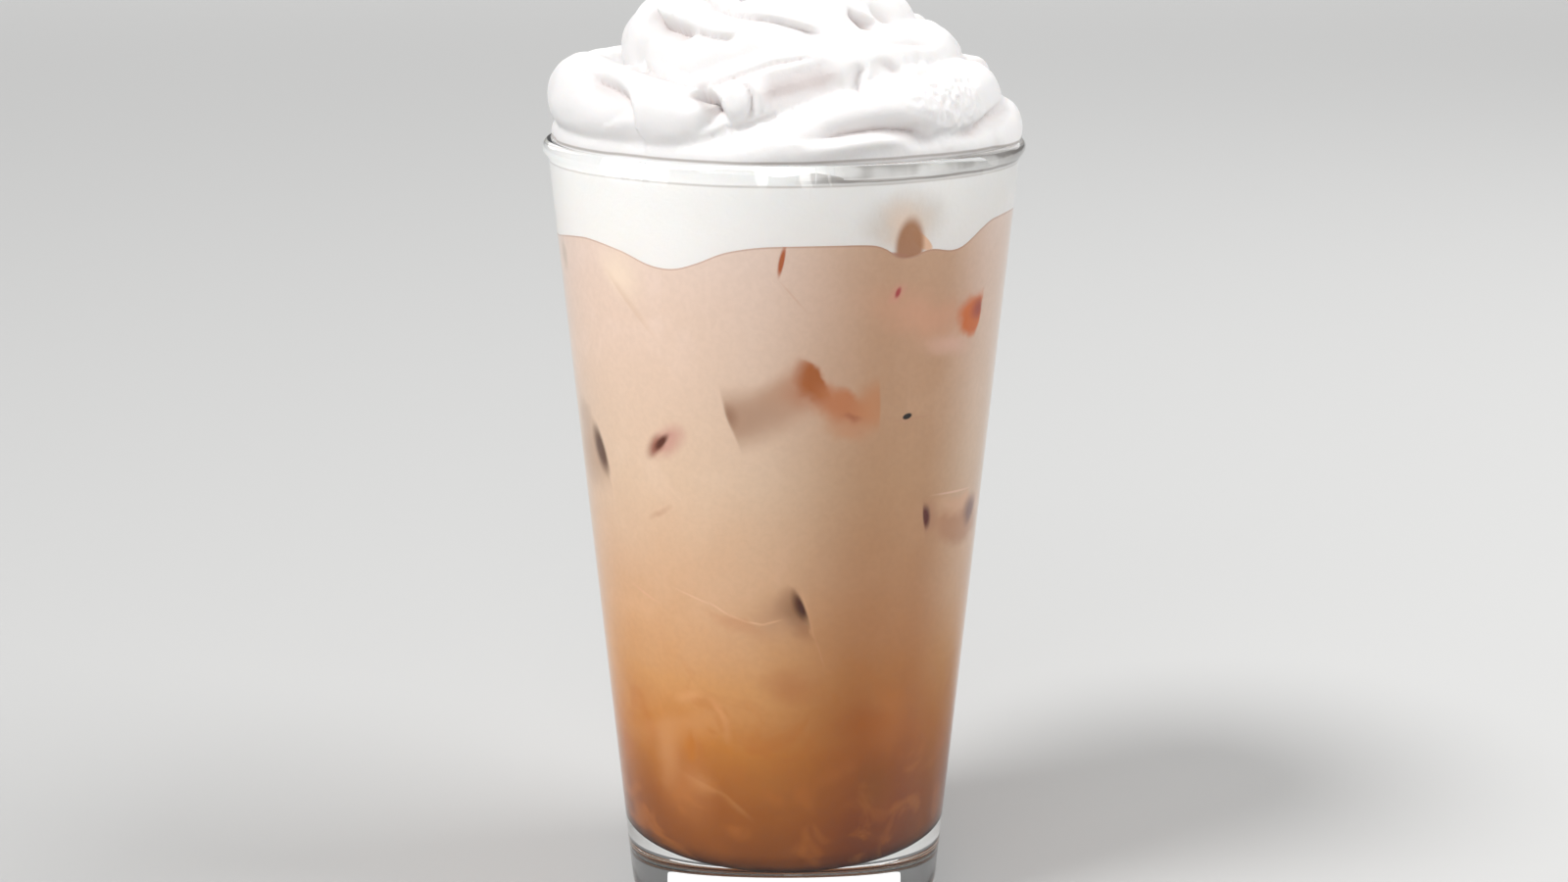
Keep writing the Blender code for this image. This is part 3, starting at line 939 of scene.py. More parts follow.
@dataclass(frozen=True)
class MilkyCoffee:
    """Finish of the drink: pale peach at the top to caramel at the foot, with clouds, ice marks and painted
    shade.

    Attributes:
        layers: Height in mm and colour at the drink's front.
        wander: How far the layers wander up and down, in metres.
        edge_shade_colour: Painted shade of the thin line at its upper edge, under the cream.
        foot_shade_colour: Painted shade, near black, just over the bore's floor.
        shade: Painted shade: what its colour is multiplied by to the right of its front.
        low_shade: Painted shade: what its colour is multiplied by low down there.
        milk: What its colour is multiplied by in the clouds of milk.
        speckle: What its colour is multiplied by in its fine grain.
        amber: Colour of the swirls low in it.
        marks: Where ice leans on the glass, and painted highlights along the fine edges round it.
        roughness: Roughness of the liquid against the glass.
        refraction: Its index of refraction.
        bands: Heights in mm between which marks are drawn together.
        columns: Azimuths in degrees between which marks are drawn together.
    """

    layers: tuple[tuple[float, Colour], ...] = (
        (15.0, linear(120, 60, 8)),
        (26.0, linear(154, 86, 18)),
        (40.0, linear(190, 122, 46)),
        (54.0, linear(206, 152, 95)),
        (72.0, linear(213, 175, 141)),
        (92.0, linear(219, 192, 167)),
        (132.0, linear(226, 203, 189)),
    )
    wander: float = 8.0 * MM
    edge_shade_colour: Colour = linear(172, 130, 112)
    foot_shade_colour: Colour = linear(30, 14, 8)
    shade: Colour = (0.75, 0.60, 0.46)
    low_shade: Colour = (0.98, 0.90, 0.45)
    milk: Colour = (1.12, 1.16, 1.24)
    speckle: Colour = (0.87, 0.86, 0.85)
    amber: Colour = linear(180, 104, 32)
    marks: tuple[WallMark, ...] = tuple(map(PHOTO_VIEW.mark, ICE_STROKES))
    roughness: float = 0.32
    refraction: float = 1.34
    bands: tuple[float, ...] = (0.0, 58.0, 95.0, 160.0)
    columns: tuple[float, ...] = (-181.0, -3.0, 30.0, 181.0)

    def material(self) -> bpy.types.Material:
        """Makes the material.

        Returns:
            The material.
        """
        sketch = Sketch("milky_coffee")
        chart = WallChart(sketch)
        colour = self.shaded(sketch, chart, self.layered(sketch, chart))
        colour = self.clouded(sketch, chart, colour)
        # Painted shade: a thin darker line along the drink's upper edge, under the cream.
        edge = sketch.node("Attribute", {"attribute_name": "edge"}).outputs["Fac"]
        colour = sketch.blended(sketch.eased(edge, 0.84, 0.95, 0.0, 0.5), colour, self.edge_shade_colour)
        # Painted shade: the drink turned near black just over the bore's floor.
        foot = sketch.eased(chart.height, 14.2 * MM, 16.6 * MM, 0.92, 0.0)
        colour = sketch.blended(foot, colour, self.foot_shade_colour)
        shader = None
        for low, high in zip(self.bands, self.bands[1:]):
            row = None
            for least, most in zip(self.columns, self.columns[1:]):
                marks = [mark for mark in self.marks if mark.within(low, high, least, most)]
                zone = self.zone(sketch, chart.painted(colour, marks))
                row = self.beyond(sketch, chart.azimuth, math.radians(least), row, zone)
            shader = self.beyond(sketch, chart.height, low * MM, shader, row)
        sketch.tree.nodes.remove(sketch.shader)
        sketch.join(sketch.output.inputs["Surface"], shader)
        return sketch.material

    def layered(self, sketch: Sketch, chart: WallChart) -> object:
        """Lays the drink's layers over each other, with wandering edges.

        Args:
            sketch: The material's nodes.
            chart: The wall's coordinates.

        Returns:
            The colour's socket.
        """
        clouds = sketch.grain(chart.place, 34.0, 3.0, 0.8)
        wander = sketch.maths("MULTIPLY_ADD", clouds, 2 * self.wander, -self.wander)
        height = sketch.maths("ADD", chart.height, wander)
        low, high = self.layers[0][0] * MM, self.layers[-1][0] * MM
        share = sketch.node("MapRange", Value=height, From_Min=low, From_Max=high).outputs[0]
        ramp = sketch.node("ValToRGB", Fac=share)
        stops = ramp.color_ramp.elements
        while len(stops) < len(self.layers):
            stops.new(0.5)
        for stop, (at, colour) in zip(stops, self.layers):
            stop.position = (at * MM - low) / (high - low)
            stop.color = (*colour, 1.0)
        return ramp.outputs[0]

    def zone(self, sketch: Sketch, colour: object) -> object:
        """Makes the shader of one zone of the wall, with the marks that touch it.

        Args:
            sketch: The material's nodes.
            colour: The colour's socket.

        Returns:
            The shader's socket.
        """
        shader = sketch.node("BsdfPrincipled", Base_Color=colour, Roughness=self.roughness)
        sketch.feed(shader, IOR=self.refraction, Specular_IOR_Level=0.0)
        return shader.outputs[0]

    def beyond(self, sketch: Sketch, value: object, edge: float, first: object, second: object) -> object:
        """Changes from one shader to another where a value passes an edge.

        Args:
            sketch: The material's nodes.
            value: The value's socket.
            edge: Where the second shader begins.
            first: The shader before the edge, or None for none.
            second: The shader beyond it.

        Returns:
            The shader's socket.
        """
        if first is None:
            return second
        return sketch.mixed(sketch.maths("GREATER_THAN", value, edge), first, second)

    def shaded(self, sketch: Sketch, chart: WallChart, colour: object) -> object:
        """Paints shade into the drink's colour to the right of its front, where less light falls.

        Args:
            sketch: The material's nodes.
            chart: The wall's coordinates.
            colour: The colour's socket.

        Returns:
            The colour's socket, with the painted shade in it.
        """
        # Painted shade: the drink darkened to the right of its front, and darker and more golden low down
        # there.
        rising = sketch.eased(chart.azimuth, math.radians(-10), math.radians(28))
        falling = sketch.eased(chart.azimuth, math.radians(42), math.radians(66), 1.0, 0.2)
        shade_share = sketch.maths("MULTIPLY", rising, falling)
        colour = sketch.blended(shade_share, colour, self.shade, Blend.MULTIPLY)
        low_down = sketch.maths("MULTIPLY", rising, sketch.eased(chart.height, 28 * MM, 64 * MM, 1.0, 0.0))
        return sketch.blended(low_down, colour, self.low_shade, Blend.MULTIPLY)

    def clouded(self, sketch: Sketch, chart: WallChart, colour: object) -> object:
        """Adds soft clouds of milk, and amber swirls low in the drink.

        Args:
            sketch: The material's nodes.
            chart: The wall's coordinates.
            colour: The colour's socket.

        Returns:
            The colour's socket with the clouds in it.
        """
        milk = sketch.grain(chart.place, 60.0, 4.0, 0.8)
        milky = sketch.eased(milk, 0.48, 0.74, 0.0, 0.42)
        colour = sketch.blended(milky, colour, self.milk, Blend.MULTIPLY)
        fine = sketch.eased(sketch.grain(chart.place, 900.0, 4.0, 0.4), 0.3, 0.7, 0.0, 0.3)
        colour = sketch.blended(fine, colour, self.speckle, Blend.MULTIPLY)
        swirl = sketch.grain(chart.place, 90.0, 4.0, 1.4)
        low_down = sketch.eased(chart.height, 30 * MM, 66 * MM, 1.0, 0.0)
        amber = sketch.maths("MULTIPLY", sketch.eased(swirl, 0.50, 0.68, 0.0, 0.5), low_down)
        return sketch.blended(amber, colour, self.amber)


@dataclass(frozen=True)
class SoftCream:
    """Finish of the whipped cream: white, softly translucent and a little moist, with painted shade in its
    creases and along the rim, and painted light beside the rim.

    Attributes:
        colour: Its own colour.
        bright: Its colour in the open air above the rim.
        clouds: Colour of its faint clouds.
        rim_light_colour: Painted light: its colour brightened beside the rim.
        crease_shade_colour: Painted shade in the creases between its folds.
        line_shade_colour: Painted shade of the thin lines where it meets the wall and the rim.
        band_shade_colour: Painted shade on the cream between them, to the right.
        depth: How far light spreads in it, in metres.
        first_touch: Height in mm where it first meets the wall, below the rim.
        rim_line: Height in mm of the thin shaded line just inside the rim.
        marks: Where an ice cube shows through the cream in the glass, and a broad painted shade round it.
        roughness: Its roughness.
        refraction: Its index of refraction.
        spread: Share of the light that spreads in it.
        spread_radius: How far red, green and blue spread, as shares of the depth.
        pores: Height of its fine grain, in metres.
    """

    colour: Colour = (0.855, 0.84, 0.83)
    bright: Colour = (0.87, 0.853, 0.848)
    clouds: Colour = linear(236, 233, 226)
    rim_light_colour: Colour = (0.985, 0.975, 0.965)
    crease_shade_colour: Colour = linear(188, 168, 163)
    line_shade_colour: Colour = linear(168, 158, 152)
    band_shade_colour: Colour = linear(152, 147, 144)
    depth: float = 1.2 * MM
    first_touch: float = 145.9
    rim_line: float = 149.5
    marks: tuple[WallMark, ...] = tuple(map(PHOTO_VIEW.mark, CREAM_ICE_AND_SHADE_STROKES))
    roughness: float = 0.5
    refraction: float = 1.4
    spread: float = 0.35
    spread_radius: tuple[float, float, float] = (1.0, 0.8, 0.65)
    pores: float = 0.12 * MM

    def material(self) -> bpy.types.Material:
        """Makes the material.

        Returns:
            The material.
        """
        sketch = Sketch("soft_cream")
        chart = WallChart(sketch)
        cloud = sketch.eased(sketch.grain(chart.place, 120.0, 3.0), 0.35, 0.75, 0.0, 0.25)
        tone = sketch.blended(cloud, self.colour, self.clouds)
        open_air = sketch.eased(chart.height, 145.6 * MM, 146.6 * MM)
        tone = sketch.blended(open_air, tone, self.bright)
        # Painted light: the cream brightened beside the rim, in the band seen through the bead.
        rim_light_share = sketch.eased(chart.height, 148.6 * MM, 149.6 * MM, 1.0, 0.0)
        tone = sketch.blended(sketch.maths("MULTIPLY", open_air, rim_light_share), tone, self.rim_light_colour)
        # Painted shade in the creases of the folds.
        shade_share = sketch.node("Attribute", {"attribute_name": "crease"}).outputs["Fac"]
        tone = sketch.blended(sketch.maths("MULTIPLY", shade_share, 0.5), tone, self.crease_shade_colour)
        colour = self.rim_shaded(sketch, chart, chart.painted(tone, self.marks))
        pores = sketch.bump(sketch.grain(chart.place, 900.0, 3.0), self.pores, 0.5)
        shader = sketch.shader
        sketch.feed(shader, Base_Color=colour, Roughness=self.roughness, IOR=self.refraction, Normal=pores)
        sketch.feed(shader, Subsurface_Weight=self.spread, Subsurface_Radius=self.spread_radius)
        sketch.feed(shader, Subsurface_Scale=self.depth)
        return sketch.material

    def rim_shaded(self, sketch: Sketch, chart: WallChart, colour: object) -> object:
        """Paints shade as thin lines where the cream meets the wall and the rim, and on the cream between
        them to the right.

        Args:
            sketch: The material's nodes.
            chart: The wall's coordinates.
            colour: The colour's socket.

        Returns:
            The colour's socket with the painted shade on it.
        """
        drift = sketch.maths("MULTIPLY_ADD", sketch.grain(chart.place, 40.0), 0.8 * MM, -0.4 * MM)
        height = sketch.maths("ADD", chart.height, drift)
        # Painted shade: thin lines where the cream first meets the wall and just inside the rim.
        for at, share in ((self.first_touch, 0.5), (self.rim_line, 0.7)):
            off = sketch.maths("ABSOLUTE", sketch.maths("SUBTRACT", height, at * MM))
            line = sketch.eased(off, 0.05 * MM, 0.4 * MM, share, 0.0)
            colour = sketch.blended(line, colour, self.line_shade_colour)
        # Painted shade on the cream between those lines, to the right, in faint streaks.
        right = sketch.eased(chart.azimuth, math.radians(-2), math.radians(14))
        above = sketch.eased(height, self.first_touch * MM, (self.first_touch + 0.6) * MM)
        below = sketch.eased(chart.height, 148.8 * MM, 149.6 * MM, 1.0, 0.0)
        layers = sketch.node("TexWave", {"bands_direction": "Z"}, Vector=chart.place)
        sketch.feed(layers, Scale=200.0, Distortion=1.4)
        streaks = sketch.eased(sketch.factor(layers), 0.2, 0.8, 0.55, 0.95)
        share = sketch.maths("MULTIPLY", sketch.maths("MULTIPLY", right, above), below)
        return sketch.blended(sketch.maths("MULTIPLY", share, streaks), colour, self.band_shade_colour)


@dataclass
class MixingGlass:
    """The clear conical glass.

    Attributes:
        cup: Its sizes.
        finish: Its finish.
        steps: Steps in its full turn.
        round_steps: Straight pieces in each small round.
        wall_steps: Straight pieces in the rim's round, and places along each wall.
        wall_foot: Height where the straight outer wall begins.
        neck: Length of the bend from that wall to the bead.
        bead_drop: How far under the middle of the bead that bend ends.
        neck_flare: How far it stands out there.
        bore_top: Height where the straight bore ends.
    """

    cup: CupShape
    finish: ClearGlass
    steps: int = 256
    round_steps: int = 14
    wall_steps: int = 24
    wall_foot: float = 6 * MM
    neck: float = 1.2 * MM
    bead_drop: float = 1.7 * MM
    neck_flare: float = 0.05 * MM
    bore_top: float = 145 * MM

    def profile(self) -> Profile:
        """Draws the half section, from the middle of the underside over the rim to the bore's floor.

        Returns:
            Points as radius and height.
        """
        cup = self.cup
        heel = (cup.outer_radius(cup.heel_radius) - cup.heel_radius, cup.heel_radius)
        rim = cup.bead_centre()
        under_bead = rim[1] - self.bead_drop
        points = [(cup.punt_radius * i / 10, cup.punt_depth * (1 - 0.75 * (i / 10) ** 2)) for i in range(11)]
        points += [(cup.ring_radius, 0.0)]
        points += arc(heel, cup.heel_radius, -90.0, -cup.lean(), self.round_steps)
        heights = np.linspace(self.wall_foot, under_bead - self.neck, self.wall_steps)
        points += [(cup.outer_radius(z), z) for z in heights]
        points += [(cup.outer_radius(under_bead) + self.neck_flare, under_bead)]
        points += arc(rim, cup.bead_radius, -30.0, 180.0, self.wall_steps)
        low = cup.fillet_centre()[1] + 1.5 * MM
        points += [(cup.bore_radius(z), z) for z in np.linspace(self.bore_top, low, self.wall_steps)]
        points += arc(cup.fillet_centre(), cup.fillet_radius, 0.0, -90.0, self.round_steps)
        floor = cup.fillet_centre()[0]
        points += [(floor * share, cup.floor_height) for share in (0.75, 0.5, 0.25, 0.0)]
        return points

    def build(self) -> bpy.types.Object:
        """Makes the glass and dresses it.

        Returns:
            The glass.
        """
        made = linked("mixing_glass", turned(self.profile(), self.steps), self.finish.material())
        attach(made, BODY)
        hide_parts("glass")
        return made


@dataclass
class IcedCoffee:
    """The drink, which reaches just into the wall so that no air shows between them.

    Attributes:
        cup: The cup that holds it.
        line: Its upper edge.
        finish: Its finish.
        steps: Steps in its full turn.
        reach: How far it goes into the wall.
        sharp_angle: Angle in degrees past which its edges show.
    """

    cup: CupShape
    line: CreamLine
    finish: MilkyCoffee
    steps: int = 256
    reach: float = 0.2 * MM
    sharp_angle: float = 50.0

    def build(self) -> bpy.types.Object:
        """Makes the drink and dresses it.

        Returns:
            The drink.
        """
        cup, top = self.cup, self.line.mean
        floor = cup.floor_height - self.reach
        points = [(cup.fillet_centre()[0] * share, floor) for share in (0.0, 0.25, 0.5, 0.75)]
        points += arc(cup.fillet_centre(), cup.fillet_radius + self.reach, -90.0, 0.0, 14)
        heights = list(np.linspace(24 * MM, top - self.line.depth + 1e-5, 12))
        heights += list(np.linspace(top - self.line.depth + 3 * MM, top, 10))
        points += [(cup.bore_radius(z) + self.reach, z) for z in heights]
        wall = cup.bore_radius(top) + self.reach
        points += [(wall * share, top) for share in (0.97, 0.9, 0.8, 0.65, 0.5, 0.3, 0.12, 0.0)]
        bm = turned(points, self.steps)
        self.line.bend(bm, 0.0, cup, -self.reach)
        made = linked("iced_coffee", bm, self.finish.material())
        made.data.set_sharp_from_angle(angle=math.radians(self.sharp_angle))
        self.trace_edge(made.data)
        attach(made, BODY)
        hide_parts("coffee")
        return made

    def trace_edge(self, mesh: bpy.types.Mesh) -> None:
        """Notes on the mesh where the drink's upper edge meets the wall, for the thin line of painted shade
        there.

        Args:
            mesh: The drink's mesh.
        """
        edge = np.zeros(len(mesh.vertices))
        for vert in mesh.vertices:
            level = vert.co.z > self.line.height(azimuth_of(vert.co)) - self.line.slack
            on_wall = math.hypot(vert.co.x, vert.co.y) > self.cup.bore_radius(vert.co.z)
            edge[vert.index] = level and on_wall
        mesh.attributes.new("edge", "FLOAT", "POINT").data.foreach_set("value", edge)


@dataclass(frozen=True)
class Rope:
    """A thick rope of piped cream.

    Attributes:
        rows: Azimuth in degrees, then ring radius, height and rope radius in mm.
        sides: Sides of its section.
        step: Degrees between its stations.
        least_stations: Its least number of stations.
    """

    rows: tuple[Row, ...]
    sides: int = 48
    step: float = 2.0
    least_stations: int = 24

    def add_to(self, bm: bmesh.types.BMesh) -> None:
        """Adds the rope to a mesh, closed, with round ends.

        Args:
            bm: The mesh.
        """
        rows = self.rows if self.rows[0][0] < self.rows[-1][0] else self.rows[::-1]
        first, last = rows[0][0], rows[-1][0]
        stations = max(int((last - first) / self.step), self.least_stations)
        grid = bmesh.ops.create_grid(bm, x_segments=self.sides, y_segments=stations, size=1.0)["verts"]
        for vert in grid:
            angle = (vert.co.x + 1.0) * math.pi
            share = (vert.co.y + 1.0) / 2.0
            azimuth = first + (last - first) * share
            ring, height, radius = keyed(rows, azimuth)
            end = min(share, 1.0 - share) * (last - first)
            reach = max(math.degrees(radius / max(ring, radius)), 1.0)
            radius *= math.sqrt(max(1.0 - max(1.0 - end / reach, 0.0) ** 2, 0.0))
            out = ring + radius * math.cos(angle)
            vert.co = around(azimuth, out * MM, (height + radius * math.sin(angle)) * MM)
        bmesh.ops.remove_doubles(bm, verts=grid, dist=MERGE_DISTANCE)


class Side(Enum):
    """Which side of a fold's path, seen from outside, stands over the crease."""

    LEFT = 1.0
    RIGHT = -1.0


@dataclass(frozen=True)
class Fold:
    """A crease pressed into the cream, with painted shade along it.

    Attributes:
        depth: Its depth in mm.
        steep: Half width of its steep side in mm.
        gentle: Half width of its gentle side in mm.
        path: Azimuth in degrees and height in mm of the points it runs through.
        over: The side that stands over it.
        lip: How far that side is raised, as a share of the depth.
        taper: Share of the path over which each end fades out.
        shade: How much stronger than usual its painted shade is.
        blunt: How flat its bed is.
    """

    depth: float
    steep: float
    gentle: float
    path: tuple[tuple[float, float], ...]
    over: Side = Side.LEFT
    lip: float = 0.15
    taper: float = 0.22
    shade: float = 1.0
    blunt: float = 1.4


SWIRL = Rope((
    (-170, 38.4, 149.4, 4.7), (-90, 38.2, 149.6, 4.7), (-45, 36.7, 149.8, 4.7), (-13, 35.9, 149.9, 5.6),
    (0, 35.0, 151.2, 6.6), (16, 34.4, 153.7, 7.3), (40, 33.8, 156.3, 7.7), (90, 32.9, 156.6, 7.0),
    (135, 34.0, 156.0, 7.4), (180, 35.0, 156.2, 7.8), (225, 35.6, 156.2, 7.8), (270, 36.0, 156.8, 7.6),
    (300, 35.9, 156.9, 7.6), (318, 35.6, 156.6, 7.4), (336, 35.2, 156.3, 7.0), (347, 34.0, 158.6, 7.0),
    (360, 32.0, 161.2, 6.8), (378, 29.6, 163.2, 6.8), (400, 27.0, 163.6, 7.2), (450, 25.0, 162.6, 7.6),
    (510, 23.0, 164.0, 8.6), (570, 21.0, 164.8, 9.4), (630, 19.4, 165.6, 10.2), (660, 20.2, 165.4, 10.2),
    (676, 23.6, 164.7, 10.3), (690, 26.0, 164.0, 10.4), (702, 26.2, 164.4, 10.2), (720, 23.4, 166.4, 9.8),
    (750, 18.4, 168.2, 9.2), (780, 16.0, 168.2, 9.0), (810, 15.0, 167.9, 9.0), (870, 12.0, 169.6, 8.6),
    (930, 10.0, 172.0, 8.0), (990, 8.6, 174.6, 7.2), (1050, 6.6, 176.6, 6.6),
))
CAP = Rope((
    (-130, 6.0, 180.6, 4.6), (-100, 7.5, 180.4, 5.4), (-60, 9.6, 179.2, 6.6), (-16, 12.6, 176.4, 8.2),
    (11, 16.8, 171.4, 8.8), (35, 17.0, 168.4, 8.8), (70, 14.0, 166.5, 8.0),
))
TIP = Rope((
    (60, 6.0, 175.5, 7.4), (20, 5.0, 178.6, 6.8), (-20, 4.0, 181.0, 5.9), (-60, 3.0, 183.0, 4.8),
    (-110, 2.4, 185.0, 3.6), (-160, 2.6, 186.6, 2.4), (-200, 3.4, 187.5, 1.3),
))
TONGUE = Rope((
    (-38, 22.5, 171.5, 3.0), (-28, 24.5, 171.6, 5.0), (-18, 25.2, 170.4, 4.6), (-12, 25.0, 169.6, 2.6),
))
RIM_RING = Rope((
    (-185, 38.4, 149.8, 4.7), (-92, 38.4, 149.8, 4.7), (-72, 37.0, 150.0, 4.5), (-45, 36.7, 150.0, 4.6),
    (0, 36.6, 149.8, 4.6), (12, 36.2, 150.0, 4.6), (42, 36.2, 150.0, 4.6), (60, 37.2, 149.8, 4.6),
    (92, 38.4, 149.8, 4.7), (185, 38.4, 149.8, 4.7),
))
RIM_LUMP = Rope((
    (58, 36.4, 149.0, 6.2), (80, 37.4, 150.8, 6.5), (96, 37.4, 150.9, 6.5), (118, 36.8, 149.4, 6.0),
))

FOLDS = (
    Fold(2.6, 0.7, 4.0, ((-58, 163.0), (-49, 162.2), (-41, 160.2), (-38, 157.6), (-36.8, 155.0))),
    Fold(1.1, 0.4, 2.0, (
        (-60, 164.0), (-48, 164.2), (-38.4, 163.9), (-31.2, 163.0), (-27, 162.5), (-21.1, 162.6),
        (-14.6, 163.7), (-9.4, 164.7), (-4.2, 165.8), (0, 166.4), (5, 166.9), (12, 167.3),
    ), taper=0.1),
    # A broad, flat crease whose painted shade darkens the band under the upper coil.
    Fold(1.7, 4.0, 4.0, (
        (-6.5, 160.4), (-2, 161.6), (4, 162.7), (10, 163.6), (16, 164.2),
    ), lip=0.0, shade=2.0, blunt=3.0),
    Fold(0.5, 0.4, 1.6, (
        (-14, 154.3), (-12.3, 154.8), (-6.5, 156.1), (-0.4, 157.6), (4.6, 159.1), (9.3, 160.2), (14.5, 161.3),
    ), Side.RIGHT, taper=0.12),
    Fold(4.6, 0.5, 2.6, (
        (-22.0, 162.4), (-18.6, 161.3), (-16.4, 159.9), (-15.2, 158.1), (-13.6, 155.4),
    ), taper=0.12),
    Fold(1.2, 0.5, 1.4, (
        (-24.0, 161.6), (-21.4, 160.2), (-17.8, 157.6), (-14.2, 155.2),
    ), Side.RIGHT, taper=0.15),
    Fold(-0.4, 1.1, 1.1, ((-14.2, 162.3), (-11.8, 160.9), (-10.8, 158.8), (-10.9, 156.6)), lip=0.0),
    Fold(1.1, 0.4, 0.9, (
        (-11.1, 163.0), (-8.9, 162.0), (-7.8, 160.4), (-7.7, 158.1), (-9.0, 155.9),
    ), Side.RIGHT),
    Fold(-0.5, 0.7, 1.0, (
        (-9.2, 163.1), (-6.4, 161.5), (-5.0, 159.7), (-5.2, 158.0), (-6.4, 156.6),
    ), lip=0.0),
    Fold(1.2, 0.6, 2.3, ((23.0, 164.6), (21.4, 163.4), (20.6, 161.7), (20.0, 160.2))),
    Fold(-0.4, 0.8, 1.2, ((24.2, 164.3), (23.0, 162.7), (22.0, 160.5)), lip=0.0),
    Fold(0.8, 0.6, 1.6, ((23.9, 165.0), (29.6, 165.0), (34.7, 163.4), (42.0, 163.6), (50.0, 164.4))),
    Fold(2.6, 0.9, 2.9, (
        (6, 153.3), (14.0, 153.9), (18.6, 154.2), (23.5, 154.2), (28.9, 153.6), (35.9, 152.4), (41.0, 152.0),
    ), Side.RIGHT, lip=0.1),
    Fold(1.5, 0.9, 1.5, ((45.8, 152.3), (52.8, 152.7), (58.2, 153.3), (65.5, 154.9), (81.1, 156.2))),
    Fold(3.6, 0.5, 2.8, (
        (-80, 177.6), (-70, 175.4), (-62, 173.6), (-50, 172.4), (-34.5, 171.7), (-25, 170.7),
    ), taper=0.1),
    Fold(1.4, 0.5, 1.0, ((-30.5, 171.2), (-24.0, 170.5), (-20.4, 170.0), (-15.6, 169.6), (-13.6, 170.4))),
    Fold(1.3, 0.4, 1.7, (
        (-30, 175.4), (-22.2, 174.3), (-13.5, 173.2), (-6.8, 172.8), (-0.5, 172.3), (7.7, 171.1), (13, 169.9),
    ), taper=0.12),
    Fold(2.6, 0.8, 0.7, (
        (26.0, 174.4), (27.3, 173.0), (29.7, 172.0), (34.0, 170.6), (36.5, 169.6),
    ), Side.RIGHT, 0.0),
    Fold(-0.7, 0.7, 0.7, (
        (28.3, 174.3), (31.2, 172.9), (35.4, 171.8), (40.3, 170.4), (43.3, 169.5),
    ), lip=0.0),
    Fold(1.4, 1.5, 1.5, ((36.4, 174.3), (42.1, 172.8), (47.8, 171.0), (51.0, 169.5)), lip=0.0),
    Fold(0.8, 0.6, 1.6, ((54, 167.2), (41, 168.0), (29, 168.2), (22, 168.0), (14, 167.4))),
    Fold(2.0, 0.7, 4.2, ((-96, 165.6), (-88, 161.0), (-81, 156.4), (-79, 153.6))),
    Fold(2.2, 0.7, 4.4, ((84, 164.8), (95, 161.0), (103, 156.4), (107, 152.6))),
    Fold(1.4, 0.7, 4.4, ((124, 164.0), (132, 160.0), (142, 156.8))),
    Fold(2.2, 0.8, 4.8, ((156, 165.0), (166, 161.0), (175, 156.6), (178, 153.0))),
    Fold(1.5, 0.7, 4.4, ((-168, 163.6), (-158, 160.4), (-150, 157.0))),
    Fold(2.2, 0.8, 4.8, ((-142, 165.0), (-132, 160.6), (-122, 156.0), (-118, 152.6))),
    Fold(1.8, 0.7, 3.8, ((100, 171.6), (112, 168.2), (122, 165.0))),
    Fold(2.2, 0.7, 4.4, ((160, 174.0), (172, 169.6), (180, 166.6))),
    Fold(1.6, 0.7, 3.8, ((-154, 172.6), (-144, 169.4), (-138, 166.4))),
    Fold(2.2, 0.7, 4.4, ((-124, 175.4), (-112, 171.0), (-102, 166.0))),
    Fold(1.4, 0.7, 3.8, ((-88, 174.6), (-78, 170.8), (-72, 167.0))),
    Fold(1.6, 0.6, 3.0, ((120, 179.6), (136, 176.0), (150, 172.6))),
)


